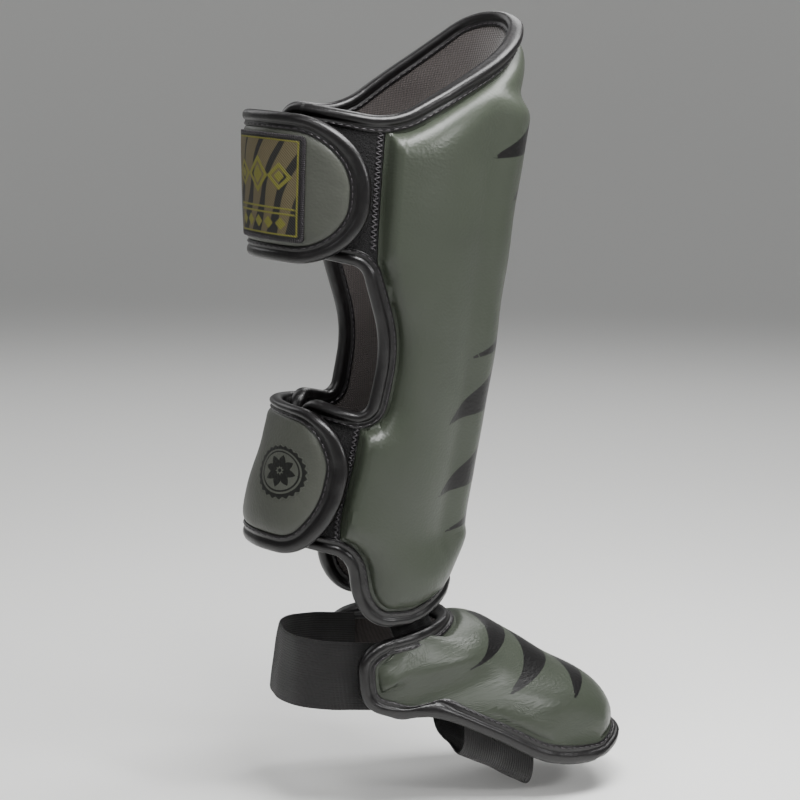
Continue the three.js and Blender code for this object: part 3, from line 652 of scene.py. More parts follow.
class Edge:
    """Edge of a panel on a surface, for distances in space from it."""

    def __init__(self, surface: Surface, outline: Array) -> None:
        """Samples the edge finely.

        Args:
            surface: What the panel lies on.
            outline: Its outline on the flat pattern.
        """
        self.surface = surface
        points = surface.place(evenly(outline, EDGE_STEP))
        self.runs = run_along(points)
        self.tree = KDTree(len(points))
        for i, point in enumerate(points):
            self.tree.insert(point, i)
        self.tree.balance()

    def measure(self, spots: Array) -> tuple[Array, Array]:
        """Distance of each spot from the edge, and the running length of the edge there."""
        found = [self.tree.find(point) for point in self.surface.place(spots)]
        return np.array([hit[2] for hit in found]), self.runs[[hit[1] for hit in found]]


@dataclass
class Net:
    """Flat net of triangles over a pattern."""

    spots: Array
    faces: Array

    @property
    def sides(self) -> Array:
        """Sides of all triangles, each from one spot to the next."""
        return np.vstack([self.faces[:, ends] for ends in ([0, 1], [1, 2], [2, 0])])


def net_of(surface: Surface, outline: Array, spacing: float, rows: Sequence[float] = ()) -> Net:
    """Covers a pattern with triangles, in rows along its edge and a grid inside.

    Args:
        surface: What the pattern is laid on.
        outline: Outline of the pattern.
        spacing: Size of the triangles.
        rows: Distances from the edge of the rows that follow it.

    Returns:
        The net.
    """
    ring = evenly(outline, spacing)
    edge = Edge(surface, outline)
    layers = [ring]
    for distance in rows:
        moved = surface.inward(ring, distance)
        layers.append(moved[edge.measure(moved)[0] > distance * ROW_SHARE])
    low, high = outline.min(0), outline.max(0)
    rise = spacing * math.sqrt(3) / 2
    along = np.arange(low[1] + rise / 2, high[1], rise)
    across = np.arange(low[0], high[0] + spacing, spacing)
    grid = np.array([(a + (k % 2) * spacing / 2, b) for k, b in enumerate(along) for a in across])
    grid = grid[within(ring, grid)]
    clear = (rows[-1] if rows else 0.0) + spacing * GRID_SHARE
    layers.append(grid[edge.measure(grid)[0] > clear])
    points = [Vector(spot) for spot in np.vstack(layers)]
    border = [list(range(len(ring)))]
    spots, _, faces, *_ = geometry.delaunay_2d_cdt(points, [], border, INSIDE_BORDER, SAME_SPOT)
    flat = np.array([tuple(spot) for spot in spots])
    corners = np.array([tuple(face) for face in faces])
    one, two, three = (flat[corners[:, k]] for k in range(3))
    turn = (two - one)[:, 0] * (three - one)[:, 1] - (two - one)[:, 1] * (three - one)[:, 0]
    corners[turn < 0] = corners[turn < 0][:, ::-1]
    return Net(flat, corners)


# ---------------------------------------------------------------- layers and meshes


@dataclass(frozen=True)
class Layers:
    """Heights of the layers over the hollow, and the sizes of the bindings round them."""

    lining: float = 2.2
    gap: float = 0.7
    cover: float = 2.4
    seat: float = 0.1  # how far leather and loop fabric are let into the lining
    hook: float = 5.0
    strap: float = 3.5
    wall: float = 1.2
    clearance: float = 1.5
    ease: float = 0.4
    leg: float = 7.0  # edge of the panel to the tip of a binding's lip
    lip_width: float = 2.4
    lip_thick: float = 0.85
    groove: float = 0.3  # between the lip and the bead
    bead_start: float = 0.62  # over the panel
    bead_share: float = 0.78  # how far the bead swells over the panel, share of the web
    bead_power: float = 2.3  # 2 is an ellipse, and more is squarer
    bead_steps: int = 21

    @property
    def cover_in(self) -> float:
        """Inner face of leather and loop fabric."""
        return self.lining - self.seat

    @property
    def cover_out(self) -> float:
        """Outer face of leather and loop fabric where they are sewn flat."""
        return self.lining + self.gap * 1.6 + self.cover

    @property
    def web(self) -> float:
        """How far bindings stand past the edge."""
        return self.clearance + self.wall

    @property
    def hook_in(self) -> float:
        """Inner face of the hook panels."""
        return self.cover_out + self.gap

    @property
    def strap_in(self) -> float:
        """Inner face of the straps."""
        return self.hook_in + self.hook + self.gap

    @property
    def strap_out(self) -> float:
        """Outer face of the straps."""
        return self.strap_in + self.strap

    def trim(self, low: float, high: float) -> Array:
        """Section of a binding: a stitched lip on each face and a round bead over the edge.

        Args:
            low: Height of the inner face that it wraps.
            high: Height of the outer face that it wraps.

        Returns:
            Rows of distance outward and height.
        """
        lip = self.leg - self.lip_width
        groove = lip - self.groove
        panel = (high - low) / 2
        tall = panel + self.web * self.bead_share
        bend = self.bead_power / 2
        rise = math.asin(min(0.95, (panel + self.bead_start) / tall) ** bend)
        turn = np.linspace(math.pi - rise, rise - math.pi, self.bead_steps)
        out, up = (np.sign(value) * np.abs(value) ** (1 / bend) for value in (np.cos(turn), np.sin(turn)))
        bead = np.column_stack(
            [(self.web - groove) / 2 + (self.web + groove) / 2 * out, (low + high) / 2 + tall * up]
        )
        thick = self.lip_thick
        lips = [(-self.leg, -0.2), (-self.leg, thick * 0.7), (-self.leg + 0.35, thick)]
        lips += [(-lip - 0.3, thick), (-lip, thick * 0.8)]
        top = [(out, high + lift) for out, lift in lips]
        under = [(out, low - lift) for out, lift in reversed(lips)]
        return np.vstack([top, bead, under])


LAYERS = Layers()
SHARP_FOLD = math.radians(58)  # a fold sharper than this stays sharp in the shading
SWEEP_STEP = 2.0
PUCKER_DEPTH = 3.0  # from the middle of a section to where its puckers are full
RELAX_SHARE = 0.6


def write_mesh(name: str, points: Array, faces: Sequence, pattern: Array) -> bpy.types.Object:
    """Makes an object of points in millimetres.

    Args:
        name: Name of the piece.
        points: Its points.
        faces: Its faces, as lists of point numbers.
        pattern: Place of each point on the flat pattern, kept as a texture map in metres.

    Returns:
        The object.
    """
    mesh = bpy.data.meshes.new(name)
    mesh.from_pydata((points * MM).tolist(), [], faces)
    mesh.update()
    corner = np.empty(len(mesh.loops), np.int32)
    mesh.loops.foreach_get("vertex_index", corner)
    layer = mesh.uv_layers.new(name="pattern")
    layer.data.foreach_set("uv", (pattern[corner] * MM).astype(np.float32).ravel())
    mesh.shade_smooth()
    mesh.set_sharp_from_angle(angle=SHARP_FOLD)
    piece = bpy.data.objects.new(name, mesh)
    bpy.context.scene.collection.objects.link(piece)
    log.info("%s: %d points, %d faces", name, len(points), len(faces))
    return piece


def slab(name: str, surface: Surface, net: Net, low: Array | float, high: Array | float) -> bpy.types.Object:
    """Closed solid between two heights over a net.

    Args:
        name: Name of the piece.
        surface: What the net is laid on.
        net: Its triangles.
        low: Height of the inner face.
        high: Height of the outer face.

    Returns:
        The object.
    """
    count = len(net.spots)
    levels = [np.broadcast_to(height, (count,)) for height in (high, low)]
    points = np.vstack([surface.lifted(net.spots, level) for level in levels])
    turned = net.faces[:, ::-1] + count
    known = {(int(i), int(j)) for i, j in net.sides}
    rim = [(i, j) for i, j in known if (j, i) not in known]
    walls = [[i, i + count, j + count, j] for i, j in rim]
    faces = net.faces.tolist() + turned.tolist() + walls
    return write_mesh(name, points, faces, np.vstack([net.spots, net.spots]))


def relax(piece: bpy.types.Object, net: Net, inside: Array, roll: float, rounds: int) -> None:
    """Lets the outer face of a padded slab settle, so that its forms run softly into each other.

    Args:
        piece: The slab.
        net: The net that it was built on.
        inside: How far each spot lies inside the sewn margin.
        roll: From the margin to where the foam is free to settle.
        rounds: How often each spot moves towards the middle of its neighbours.
    """
    loose = RELAX_SHARE * swell(inside / roll)[:, None]
    places = np.empty(len(piece.data.vertices) * 3)
    piece.data.vertices.foreach_get("co", places)
    outer = places.reshape(-1, 3)[: len(net.spots)]
    sides = np.unique(np.sort(net.sides, axis=1), axis=0)
    near = np.bincount(sides.ravel(), minlength=len(outer))[:, None]
    for _ in range(rounds):
        total = np.zeros_like(outer)
        np.add.at(total, sides[:, 0], outer[sides[:, 1]])
        np.add.at(total, sides[:, 1], outer[sides[:, 0]])
        outer += (total / near - outer) * loose
    piece.data.vertices.foreach_set("co", places)
    piece.data.update()


def swept(name: str, surface: Surface, outline: Array, section: Array, puckers: Ripples) -> bpy.types.Object:
    """Runs a closed section round an outline.

    Args:
        name: Name of the piece.
        surface: What the outline is laid on.
        outline: The outline, anticlockwise.
        section: Rows of distance outward and height.
        puckers: Unevenness of the section along the way.

    Returns:
        The object.
    """
    ring = evenly(outline, SWEEP_STEP)
    run = run_along(surface.place(ring))
    middle = section.mean(0)[1]
    uneven = puckers.at(run)
    rows = []
    for outward, height in section:
        off = height - middle
        lean = np.sign(off) * uneven * min(1.0, abs(off) / PUCKER_DEPTH)
        rows.append(surface.lifted(surface.inward(ring, -outward), height + lean))
    wide, count = len(section), len(ring)
    i, k = np.meshgrid(np.arange(count), np.arange(wide), indexing="ij")
    after, over = (i + 1) % count, (k + 1) % wide
    quads = np.stack([i * wide + k, i * wide + over, after * wide + over, after * wide + k], -1)
    pattern = np.column_stack([np.repeat(run, wide), np.tile(run_along(section), count)])
    points = np.stack(rows, 1).reshape(-1, 3)
    return write_mesh(name, points, quads.reshape(-1, 4).tolist(), pattern)


class Thread:
    """Stitches, gathered from all over a sub-assembly into one piece."""

    row_width = 0.8
    zigzag_width = 0.95
    stitch_share = 0.74  # of the pitch of a row. The rest lies under the cloth
    sides = 6
    rings = ((-0.36, 0.8), (0.0, 1.0), (0.36, 0.8))  # share of the length, share of the width
    tip = 0.52  # share of the length
    flat = 0.42  # half of the height, share of the width
    lip_inset = 1.2  # tip of a binding's lip to its row of stitches
    lip_pitch = 4.2
    lip_height = 1.05

    def __init__(self) -> None:
        """Starts with no stitches."""
        self.starts: list[Array] = []
        self.ends: list[Array] = []
        self.normals: list[Array] = []
        self.widths: list[Array] = []

    def add(self, surface: Surface, starts: Array, ends: Array, height: Array | float, width: float) -> None:
        """Adds straight stitches between spots on a pattern.

        Args:
            surface: What the pattern is laid on.
            starts: Where the stitches come up.
            ends: Where they go down.
            height: Height of the face that they lie on.
            width: Width of the thread.
        """
        self.starts.append(surface.lifted(starts, height))
        self.ends.append(surface.lifted(ends, height))
        self.normals.append(surface.frame((starts + ends) / 2)[2])
        self.widths.append(np.full(len(starts), width))

    def row(self, surface: Surface, line: Array, pitch: float, height: float) -> None:
        """Adds a running stitch along an open line of spots."""
        run = run_along(surface.place(line))
        at = np.arange(0, run[-1] - pitch, pitch)
        ends = sampled(line, run, at + pitch * self.stitch_share)
        self.add(surface, sampled(line, run, at), ends, height, self.row_width)

    def zigzag(self, surface: Surface, line: Array, pitch: float, swing: float, height: float) -> None:
        """Adds a zigzag stitch along a line that runs up the pattern."""
        run = run_along(line)
        at = np.arange(0, run[-1], pitch)
        points = sampled(line, run, at)
        points[:, 0] += np.where(np.arange(len(at)) % 2 == 0, swing, -swing)
        self.add(surface, points[:-1], points[1:], height, self.zigzag_width)

    def bind(self, surface: Surface, outline: Array, low: float, high: float) -> None:
        """Adds the two rows that hold a binding to the faces of a panel."""
        lip = surface.inward(evenly(outline, SWEEP_STEP), LAYERS.leg - self.lip_inset)
        closed = np.vstack([lip, lip[:1]])
        for height in (high + self.lip_height, low - self.lip_height):
            self.row(surface, closed, self.lip_pitch, height)

    def piece(self, name: str) -> bpy.types.Object:
        """Makes the piece of all stitches, each a small spindle of thread."""
        start, end = np.vstack(self.starts), np.vstack(self.ends)
        length = np.linalg.norm(end - start, axis=1)[:, None, None]
        axis = unit(end - start)
        normal = np.vstack(self.normals)
        side = unit(np.cross(normal, axis))
        width = np.concatenate(self.widths)[:, None, None]
        n = self.sides
        turns = np.linspace(0, 2 * math.pi, n, endpoint=False)
        shape = [(-self.tip, 0.0, 0.0)]
        shape += [(x, r * math.cos(t), r * math.sin(t)) for x, r in self.rings for t in turns]
        shape += [(self.tip, 0.0, 0.0)]
        body = np.array(shape)
        last = len(body) - 1
        faces = [[0, 1 + (k + 1) % n, 1 + k] for k in range(n)]
        for low in range(1, last - n, n):
            faces += [[low + k, low + (k + 1) % n, low + n + (k + 1) % n, low + n + k] for k in range(n)]
        faces += [[last, last - n + k, last - n + (k + 1) % n] for k in range(n)]
        points = (
            ((start + end) / 2)[:, None, :]
            + axis[:, None, :] * (body[None, :, :1] * length)
            + side[:, None, :] * (body[None, :, 1:2] * width / 2)
            + normal[:, None, :] * (body[None, :, 2:] * width * self.flat)
        )
        every = [[corner + i * len(body) for corner in face] for i in range(len(start)) for face in faces]
        flat = points.reshape(-1, 3)
        return write_mesh(name, flat, every, flat[:, :2])


def mark(piece: bpy.types.Object, name: str, values: Array) -> None:
    """Keeps a number for every spot of a slab's net, for its finish to read."""
    layer = piece.data.attributes.new(name, "FLOAT", "POINT")
    layer.data.foreach_set("value", np.tile(values, 2).astype(np.float32))


# ---------------------------------------------------------------- finishes

WAVE = math.pi / 10  # one wave of Blender's wave texture spans this length at scale 1
MIXED = {"data_type": "RGBA"}
MIX_ONE, MIX_TWO, MIX_OUT = 6, 7, 2  # colour sockets of a mix node


def linear(colour: str) -> tuple[float, float, float, float]:
    """Turns an sRGB hex colour into the linear one that a shader takes."""
    parts = [int(colour[k : k + 2], 16) / 255 for k in (1, 3, 5)]
    turned = [c / 12.92 if c <= 0.04045 else ((c + 0.055) / 1.055) ** 2.4 for c in parts]
    return (turned[0], turned[1], turned[2], 1.0)


def times(colour: tuple[float, ...], share: float) -> tuple[float, ...]:
    """A linear colour made lighter or darker."""
    return tuple(channel * share for channel in colour[:3]) + (1.0,)


def plug(tree: bpy.types.NodeTree, socket: bpy.types.NodeSocket, value: object) -> None:
    """Links a socket to another node's output, or sets its own value."""
    if isinstance(value, bpy.types.NodeSocket):
        tree.links.new(value, socket)
    else:
        socket.default_value = value


def add_node(
    tree: bpy.types.NodeTree, kind: str, out: str | int, inputs: Optional[dict] = None, **settings: object
) -> bpy.types.NodeSocket:
    """Adds a node with its settings and links.

    Args:
        tree: Where to add it.
        kind: Its type, without the words ShaderNode.
        out: The output that is wanted, by name or number.
        inputs: Socket by name or number, to a value or to another node's output.
        settings: Its own properties.

    Returns:
        The output.
    """
    node = tree.nodes.new(f"ShaderNode{kind}")
    for name, value in settings.items():
        setattr(node, name, value)
    for socket, value in (inputs or {}).items():
        plug(tree, node.inputs[socket], value)
    return node.outputs[out]


def paint(name: str, looks: Callable[[bpy.types.NodeTree], dict]) -> bpy.types.Material:
    """Makes a material, or finds it where it is already made.

    Args:
        name: Its name.
        looks: Adds nodes to its tree and gives what each socket of its shader takes.

    Returns:
        The material.
    """
    if name in bpy.data.materials:
        return bpy.data.materials[name]
    made = bpy.data.materials.new(name)
    made.use_nodes = True
    tree = made.node_tree
    shader = next(node for node in tree.nodes if node.type == "BSDF_PRINCIPLED")
    for socket, value in looks(tree).items():
        plug(tree, shader.inputs[socket], value)
    return made


@dataclass(frozen=True)
class Finish(ABC):
    """A finish of one real material. Its lengths are millimetres."""

    name: str
    colour: str
    roughness: float
    slot: Slot

    @abstractmethod
    def weave(self, tree: bpy.types.NodeTree, spot: bpy.types.NodeSocket) -> dict:
        """Adds what the eye sees on this material, and gives what each socket of the shader takes."""

    def looks(self, tree: bpy.types.NodeTree) -> dict:
        """Adds the nodes over the flat pattern, in millimetres."""
        pattern = add_node(tree, "UVMap", "UV", uv_map="pattern")
        spot = add_node(tree, "VectorMath", "Vector", {0: pattern, "Scale": 1 / MM}, operation="SCALE")
        plain = {"Base Color": linear(self.colour), "Roughness": self.roughness}
        return plain | self.weave(tree, spot)

    def dress(self, piece: bpy.types.Object, *nodes: str) -> bpy.types.Object:
        """Gives a piece this finish, and lets it ride on the part and stand for CAD nodes."""
        piece.data.materials.append(paint(self.name, self.looks))
        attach(piece, "root")
        if nodes:
            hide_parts(*nodes)
        return piece


@dataclass(frozen=True)
class CoatedLeather(Finish):
    """Microfibre with a polyurethane skin, embossed with a fine grain.

    The eye sees a satin sheen, a faint pebble, and flat dark screen print.
    """

    print_colour: str = "#070606"
    print_roughness: float = 0.38
    print_edge: float = 0.12
    printed: bool = False
    grain: float = 1.6  # drawn coarser than the real 0.8 so that it shows
    grain_depth: float = 0.14
    cloud: float = 34.0
    darkest: float = 0.86
    lightest: float = 1.13

    def weave(self, tree: bpy.types.NodeTree, spot: bpy.types.NodeSocket) -> dict:
        """Adds uneven tone, pebble grain and print."""
        grain = {"Vector": spot, "Scale": 1 / self.grain, "Smoothness": 0.6}
        cells = add_node(tree, "TexVoronoi", "Distance", grain, feature="SMOOTH_F1")
        bump = {"Height": cells, "Strength": 0.8, "Distance": self.grain_depth * MM}
        clouds = add_node(tree, "TexNoise", "Fac", {"Vector": spot, "Scale": 1 / self.cloud, "Detail": 3.0})
        shade = linear(self.colour)
        tones = {"Factor": clouds, MIX_ONE: times(shade, self.darkest), MIX_TWO: times(shade, self.lightest)}
        looks = {
            "Specular IOR Level": 0.4,
            "Base Color": add_node(tree, "Mix", MIX_OUT, tones, **MIXED),
            "Normal": add_node(tree, "Bump", "Normal", bump),
        }
        return looks | self.ink(tree, looks["Base Color"]) if self.printed else looks

    def ink(self, tree: bpy.types.NodeTree, colour: bpy.types.NodeSocket) -> dict:
        """Adds the screen print over a colour."""
        signed = add_node(tree, "Attribute", "Fac", attribute_name="ink")
        edge = {"Value": signed, "From Min": -self.print_edge, "From Max": self.print_edge}
        mask = add_node(tree, "MapRange", "Result", edge)
        tones = {"Factor": mask, MIX_ONE: colour, MIX_TWO: linear(self.print_colour)}
        gloss = {"Value": mask, "To Min": self.roughness, "To Max": self.print_roughness}
        return {
            "Base Color": add_node(tree, "Mix", MIX_OUT, tones, **MIXED),
            "Roughness": add_node(tree, "MapRange", "Result", gloss),
        }


@dataclass(frozen=True)
class TrimVinyl(Finish):
    """Soft vinyl, calendered and folded over the edge.

    The eye sees a near-black band with a tight bright line along its bead.
    """

    crinkle: float = 2.6  # between the small creases of the folded strip
    depth: float = 0.35

    def weave(self, tree: bpy.types.NodeTree, spot: bpy.types.NodeSocket) -> dict:
        """Adds small creases."""
        noise = {"Vector": spot, "Scale": 1 / self.crinkle, "Detail": 4.0, "Roughness": 0.6}
        creases = add_node(tree, "TexNoise", "Fac", noise)
        bump = {"Height": creases, "Strength": 0.55, "Distance": self.depth * MM}
        return {"Normal": add_node(tree, "Bump", "Normal", bump)}


@dataclass(frozen=True)
class BrushedLoop(Finish):
    """Brushed nylon loop of a touch fastener.

    The eye sees matt black fuzz; lighter specks painted into its colour stand for highlights where loops
    catch the light.
    """

    painted_glint_colour: str = "#2c2a2e"
    loop: float = 1.0  # between loops
    depth: float = 0.5

    def weave(self, tree: bpy.types.NodeTree, spot: bpy.types.NodeSocket) -> dict:
        """Adds tufts, and highlight specks painted into the colour."""
        tufts = add_node(tree, "TexVoronoi", "Distance", {"Vector": spot, "Scale": 1 / self.loop})
        noise = {"Vector": spot, "Scale": 1.6 / self.loop, "Detail": 5.0, "Roughness": 0.7}
        fuzz = add_node(tree, "TexNoise", "Fac", noise)
        # painted highlight: noise picks specks where the colour turns lighter, as if loops caught the light
        painted_glints = add_node(tree, "MapRange", "Result", {"Value": fuzz, "From Min": 0.55, "From Max": 0.72})
        tones = {"Factor": painted_glints, MIX_ONE: linear(self.colour), MIX_TWO: linear(self.painted_glint_colour)}
        height = add_node(tree, "Math", "Value", {0: fuzz, 1: tufts}, operation="SUBTRACT")
        bump = {"Height": height, "Strength": 0.9, "Distance": self.depth * MM}
        return {
            "Base Color": add_node(tree, "Mix", MIX_OUT, tones, **MIXED),
            "Normal": add_node(tree, "Bump", "Normal", bump),
            "Sheen Weight": 0.25,
            "Specular IOR Level": 0.3,
        }


@dataclass(frozen=True)
class HookTape(Finish):
    """Moulded nylon hooks in close rows.

    The eye sees a dark, evenly dotted tape.
    """

    pitch: float = 1.7  # between hooks
    depth: float = 0.8

    def weave(self, tree: bpy.types.NodeTree, spot: bpy.types.NodeSocket) -> dict:
        """Adds rows of hooks."""
        rows = {"Vector": spot, "Scale": 1 / self.pitch, "Randomness": 0.15}
        hooks = add_node(tree, "TexVoronoi", "Distance", rows)
        bump = {"Height": hooks, "Strength": 1.0, "Distance": self.depth * MM}
        return {"Normal": add_node(tree, "Bump", "Normal", bump, invert=True)}


@dataclass(frozen=True)
class RibbedCloth(Finish):
    """Knitted or woven cloth with ribs.

    The eye sees soft matt ribs of one spacing with a finer cross thread.
    """

    rib: float = 1.4
    thread: float = 0.9
    across: bool = True
    depth: float = 0.3
    sheen: float = 0.15
    painted_groove_shade: float = 0.55  # painted shade: how much darker the colour is between the ribs, where shade falls

    def weave(self, tree: bpy.types.NodeTree, spot: bpy.types.NodeSocket) -> dict:
        """Adds ribs and cross threads, with painted shade between the ribs."""
        ways = ("X", "Y") if self.across else ("Y", "X")
        waves = [
            {"Vector": spot, "Scale": WAVE / length, "Distortion": uneven, "Detail": 1.0}
            for length, uneven in ((self.rib, 0.6), (self.thread, 1.2))
        ]
        ribs, threads = (
            add_node(tree, "TexWave", "Fac", wave, bands_direction=way) for wave, way in zip(waves, ways)
        )
        height = add_node(tree, "Math", "Value", {0: ribs, 1: threads}, operation="ADD")
        shade = linear(self.colour)
        # painted shade: the colour darkens in the grooves between the ribs
        tones = {"Factor": ribs, MIX_ONE: times(shade, self.painted_groove_shade), MIX_TWO: shade}
        bump = {"Height": height, "Strength": 0.8, "Distance": self.depth * MM}
        return {
            "Base Color": add_node(tree, "Mix", MIX_OUT, tones, **MIXED),
            "Normal": add_node(tree, "Bump", "Normal", bump),
            "Sheen Weight": self.sheen,
        }


@dataclass(frozen=True)
class WovenBadge(Finish):
    """Damask label of polyester thread.

    The eye sees black ground, brown stripes and olive figures with fine slanting ribs.
    """

    figure_colour: str = "#6f6d22"
    stripe_colour: str = "#4f4730"
    thread: float = 0.8  # drawn coarser than the real 0.3 so that it shows
    depth: float = 0.22
    painted_groove_shade: float = 0.45  # painted shade: how much darker the figures' colour is between their threads
    edge: float = 0.15

    def weave(self, tree: bpy.types.NodeTree, spot: bpy.types.NodeSocket) -> dict:
        """Adds the stripes, the figures and the twill, with painted shade between the twill's threads."""
        masks = []
        for name in ("ink", "stripe"):
            value = add_node(tree, "Attribute", "Fac", attribute_name=name)
            reach = {"Value": value, "From Min": -self.edge, "From Max": self.edge}
            masks.append(add_node(tree, "MapRange", "Result", reach))
        figure, stripe = masks
        wave = {"Vector": spot, "Scale": WAVE / self.thread, "Distortion": 0.8, "Detail": 2.0}
        twill = add_node(tree, "TexWave", "Fac", wave, bands_direction="DIAGONAL")
        bright = linear(self.figure_colour)
        # painted shade: the figure colour darkens between the twill's threads
        gold = {"Factor": twill, MIX_ONE: times(bright, self.painted_groove_shade), MIX_TWO: bright}
        ground = {"Factor": stripe, MIX_ONE: linear(self.colour), MIX_TWO: linear(self.stripe_colour)}
        one, two = (add_node(tree, "Mix", MIX_OUT, tones, **MIXED) for tones in (ground, gold))
        tones = {"Factor": figure, MIX_ONE: one, MIX_TWO: two}
        height = add_node(tree, "Math", "Value", {0: twill, 1: figure}, operation="ADD")
        bump = {"Height": height, "Strength": 0.8, "Distance": self.depth * MM}
        return {
            "Base Color": add_node(tree, "Mix", MIX_OUT, tones, **MIXED),
            "Normal": add_node(tree, "Bump", "Normal", bump),
        }


@dataclass(frozen=True)
class BondedThread(Finish):
    """Bonded nylon sewing thread.

    The eye sees short dark dashes with a soft glint.
    """

    ply: float = 0.7
    depth: float = 0.1

    def weave(self, tree: bpy.types.NodeTree, spot: bpy.types.NodeSocket) -> dict:
        """Adds the twist of the plies."""
        twist = add_node(tree, "TexNoise", "Fac", {"Vector": spot, "Scale": 1 / self.ply})
        bump = {"Height": twist, "Strength": 0.5, "Distance": self.depth * MM}
        return {"Normal": add_node(tree, "Bump", "Normal", bump)}


SHELL_LEATHER = CoatedLeather("olive_coated_leather", "#353a31", 0.37, Slot.SHELL, printed=True)
STRAP_LEATHER = CoatedLeather("strap_coated_leather", "#42443e", 0.42, Slot.STRAP)
SEAL_LEATHER = CoatedLeather(
    "strap_coated_leather_printed", "#42443e", 0.42, Slot.STRAP, print_colour="#131412", printed=True
)
TRIM_VINYL = TrimVinyl("black_trim_vinyl", "#0a0809", 0.34, Slot.TRIM)
THREAD = BondedThread("black_bonded_thread", "#262226", 0.4, Slot.TRIM)
LOOP_CLOTH = BrushedLoop("brushed_nylon_loop", "#060506", 0.95, Slot.LOOP)
HOOK_TAPE = HookTape("nylon_hook_tape", "#0c0b0d", 0.7, Slot.HOOK)
LINING_CLOTH = RibbedCloth(
    "brushed_lining_cloth", "#2e2725", 0.92, Slot.LINING, rib=1.6, thread=1.1, depth=0.2, sheen=0.3
)
ELASTIC = RibbedCloth("black_woven_elastic", "#0a0708", 0.85, Slot.ELASTIC, rib=1.5, across=False)
LINK_CLOTH = RibbedCloth(
    "black_stretch_cloth", "#0c090a", 0.88, Slot.ELASTIC, rib=1.2, thread=0.8, depth=0.2
)
BADGE_CLOTH = WovenBadge("damask_badge_cloth", "#0c0b08", 0.85, Slot.BADGE)


# ---------------------------------------------------------------- print


def chevron(spots: Array, level: float, reach: float, drop: float, thick: float) -> Array:
    """Signed distance inside a tapered chevron whose point is up at a level of the middle line."""
    run = np.abs(spots[:, 0])
    slope = drop / reach
    taper = thick / 2 * (1 - run / reach)
    return (taper - np.abs(spots[:, 1] - level + slope * run)) / math.hypot(1, slope)


def lozenge(spots: Array, centre: tuple[float, float], wide: float, tall: float) -> Array:
    """Signed distance inside a lozenge with those half sizes."""
    a = np.abs(spots[:, 0] - centre[0]) / wide
    b = np.abs(spots[:, 1] - centre[1]) / tall
    return (1 - a - b) / math.hypot(1 / wide, 1 / tall)


def shin_print(spots: Array) -> Array:
    """Chevrons down the front of the shin: a pair under the peak and a stack above the ankle."""
    upper = [chevron(spots, 322, 40, 30, 34), chevron(spots, 286, 28, 18, 13)]
    lower = [
        chevron(spots, 196, 40, 24, 15),
        chevron(spots, 172, 52, 40, 40),
        chevron(spots, 128, 50, 40, 40),
        chevron(spots, 88, 40, 26, 20),
    ]
    return np.max(upper + lower, axis=0)


def instep_print(spots: Array) -> Array:
    """Three chevrons over the instep."""
    rows = ((116, 40, 20, 26), (84, 46, 26, 30), (50, 36, 16, 20))
    return np.max([chevron(spots, *row) for row in rows], axis=0)


def badge_figures(spots: Array, wide: float, tall: float) -> tuple[Array, Array]:
    """Lozenges and lines in a thin frame, over broad slanting stripes.

    Args:
        spots: Places in millimetres from the middle of the badge.
        wide: Half of its width.
        tall: Half of its height.

    Returns:
        Signed distance inside the figures, and inside the stripes.
    """
    a, b = spots[:, 0], spots[:, 1]
    inset = np.minimum(wide - np.abs(a), tall - np.abs(b))
    thin_frame = 0.5 - np.abs(inset - 3.6)
    inside = inset - 4.6
    stripes = [
        3.6 + 0.05 * b - np.abs(a * 0.94 - b * 0.34 - k * 11.5 + 1.6 * np.sin(b / 8 + k))
        for k in range(-3, 4)
    ]
    broad = np.minimum(np.max(stripes, axis=0), inset - 3.0)
    lines = np.maximum(0.55 - np.abs(b + tall * 0.4), 0.55 - np.abs(b + tall * 0.5))
    lines = np.minimum(lines, inside)
    beads = [lozenge(spots, (k * 8.2, -tall * 0.68), 3.4, 3.6) for k in (-2, -1, 0, 1, 2)]
    knots = []
    for k in (-1, 0, 1):
        knot = lozenge(spots, (k * 15.0, tall * 0.2), 8.2, 11.5 if k == 0 else 8.5)
        knots += [1.0 - np.abs(knot - 1.4), knot - 3.6]
    return np.max([thin_frame, lines, *beads, *knots], axis=0), broad


SEAL_TEETH = 24
SEAL_TOOTH = 0.55  # half of the height of a tooth
PETALS = 8


def seal_figures(a: Array, b: Array, radius: float) -> Array:
    """Rings round a rosette of petals."""
    out, turn = np.hypot(a, b), np.arctan2(b, a)
    scallop = radius - 0.9 + SEAL_TOOTH * np.cos(turn * SEAL_TEETH)
    rim = np.minimum(scallop - out, out - radius + 3.1)
    ring = 0.45 - np.abs(out - radius + 4.6)
    half = math.pi / PETALS
    petal_turn = (turn + half) % (2 * half) - half
    reach = np.clip((out - 1.6) / (radius * 0.5), 0, 1)
    petals = 2.3 * np.sin(math.pi * reach) - np.abs(petal_turn) * out
    return np.max([rim, ring, petals, 1.1 - out], axis=0)


# ---------------------------------------------------------------- sub-assemblies


def sheet_size(net: Net, surface: Surface) -> tuple[tuple[float, float], float]:
    """Cut size and area in metres of a sheet laid on a surface."""
    points = surface.place(net.spots)
    one, two, three = (points[net.faces[:, k]] for k in range(3))
    area = float(np.linalg.norm(np.cross(two - one, three - one), axis=1).sum() / 2) * MM * MM
    size = (net.spots.max(0) - net.spots.min(0)) * MM
    if area > size[0] * size[1]:
        size = size * math.sqrt(area / (size[0] * size[1])) * 1.001
    return (float(size[0]), float(size[1])), area


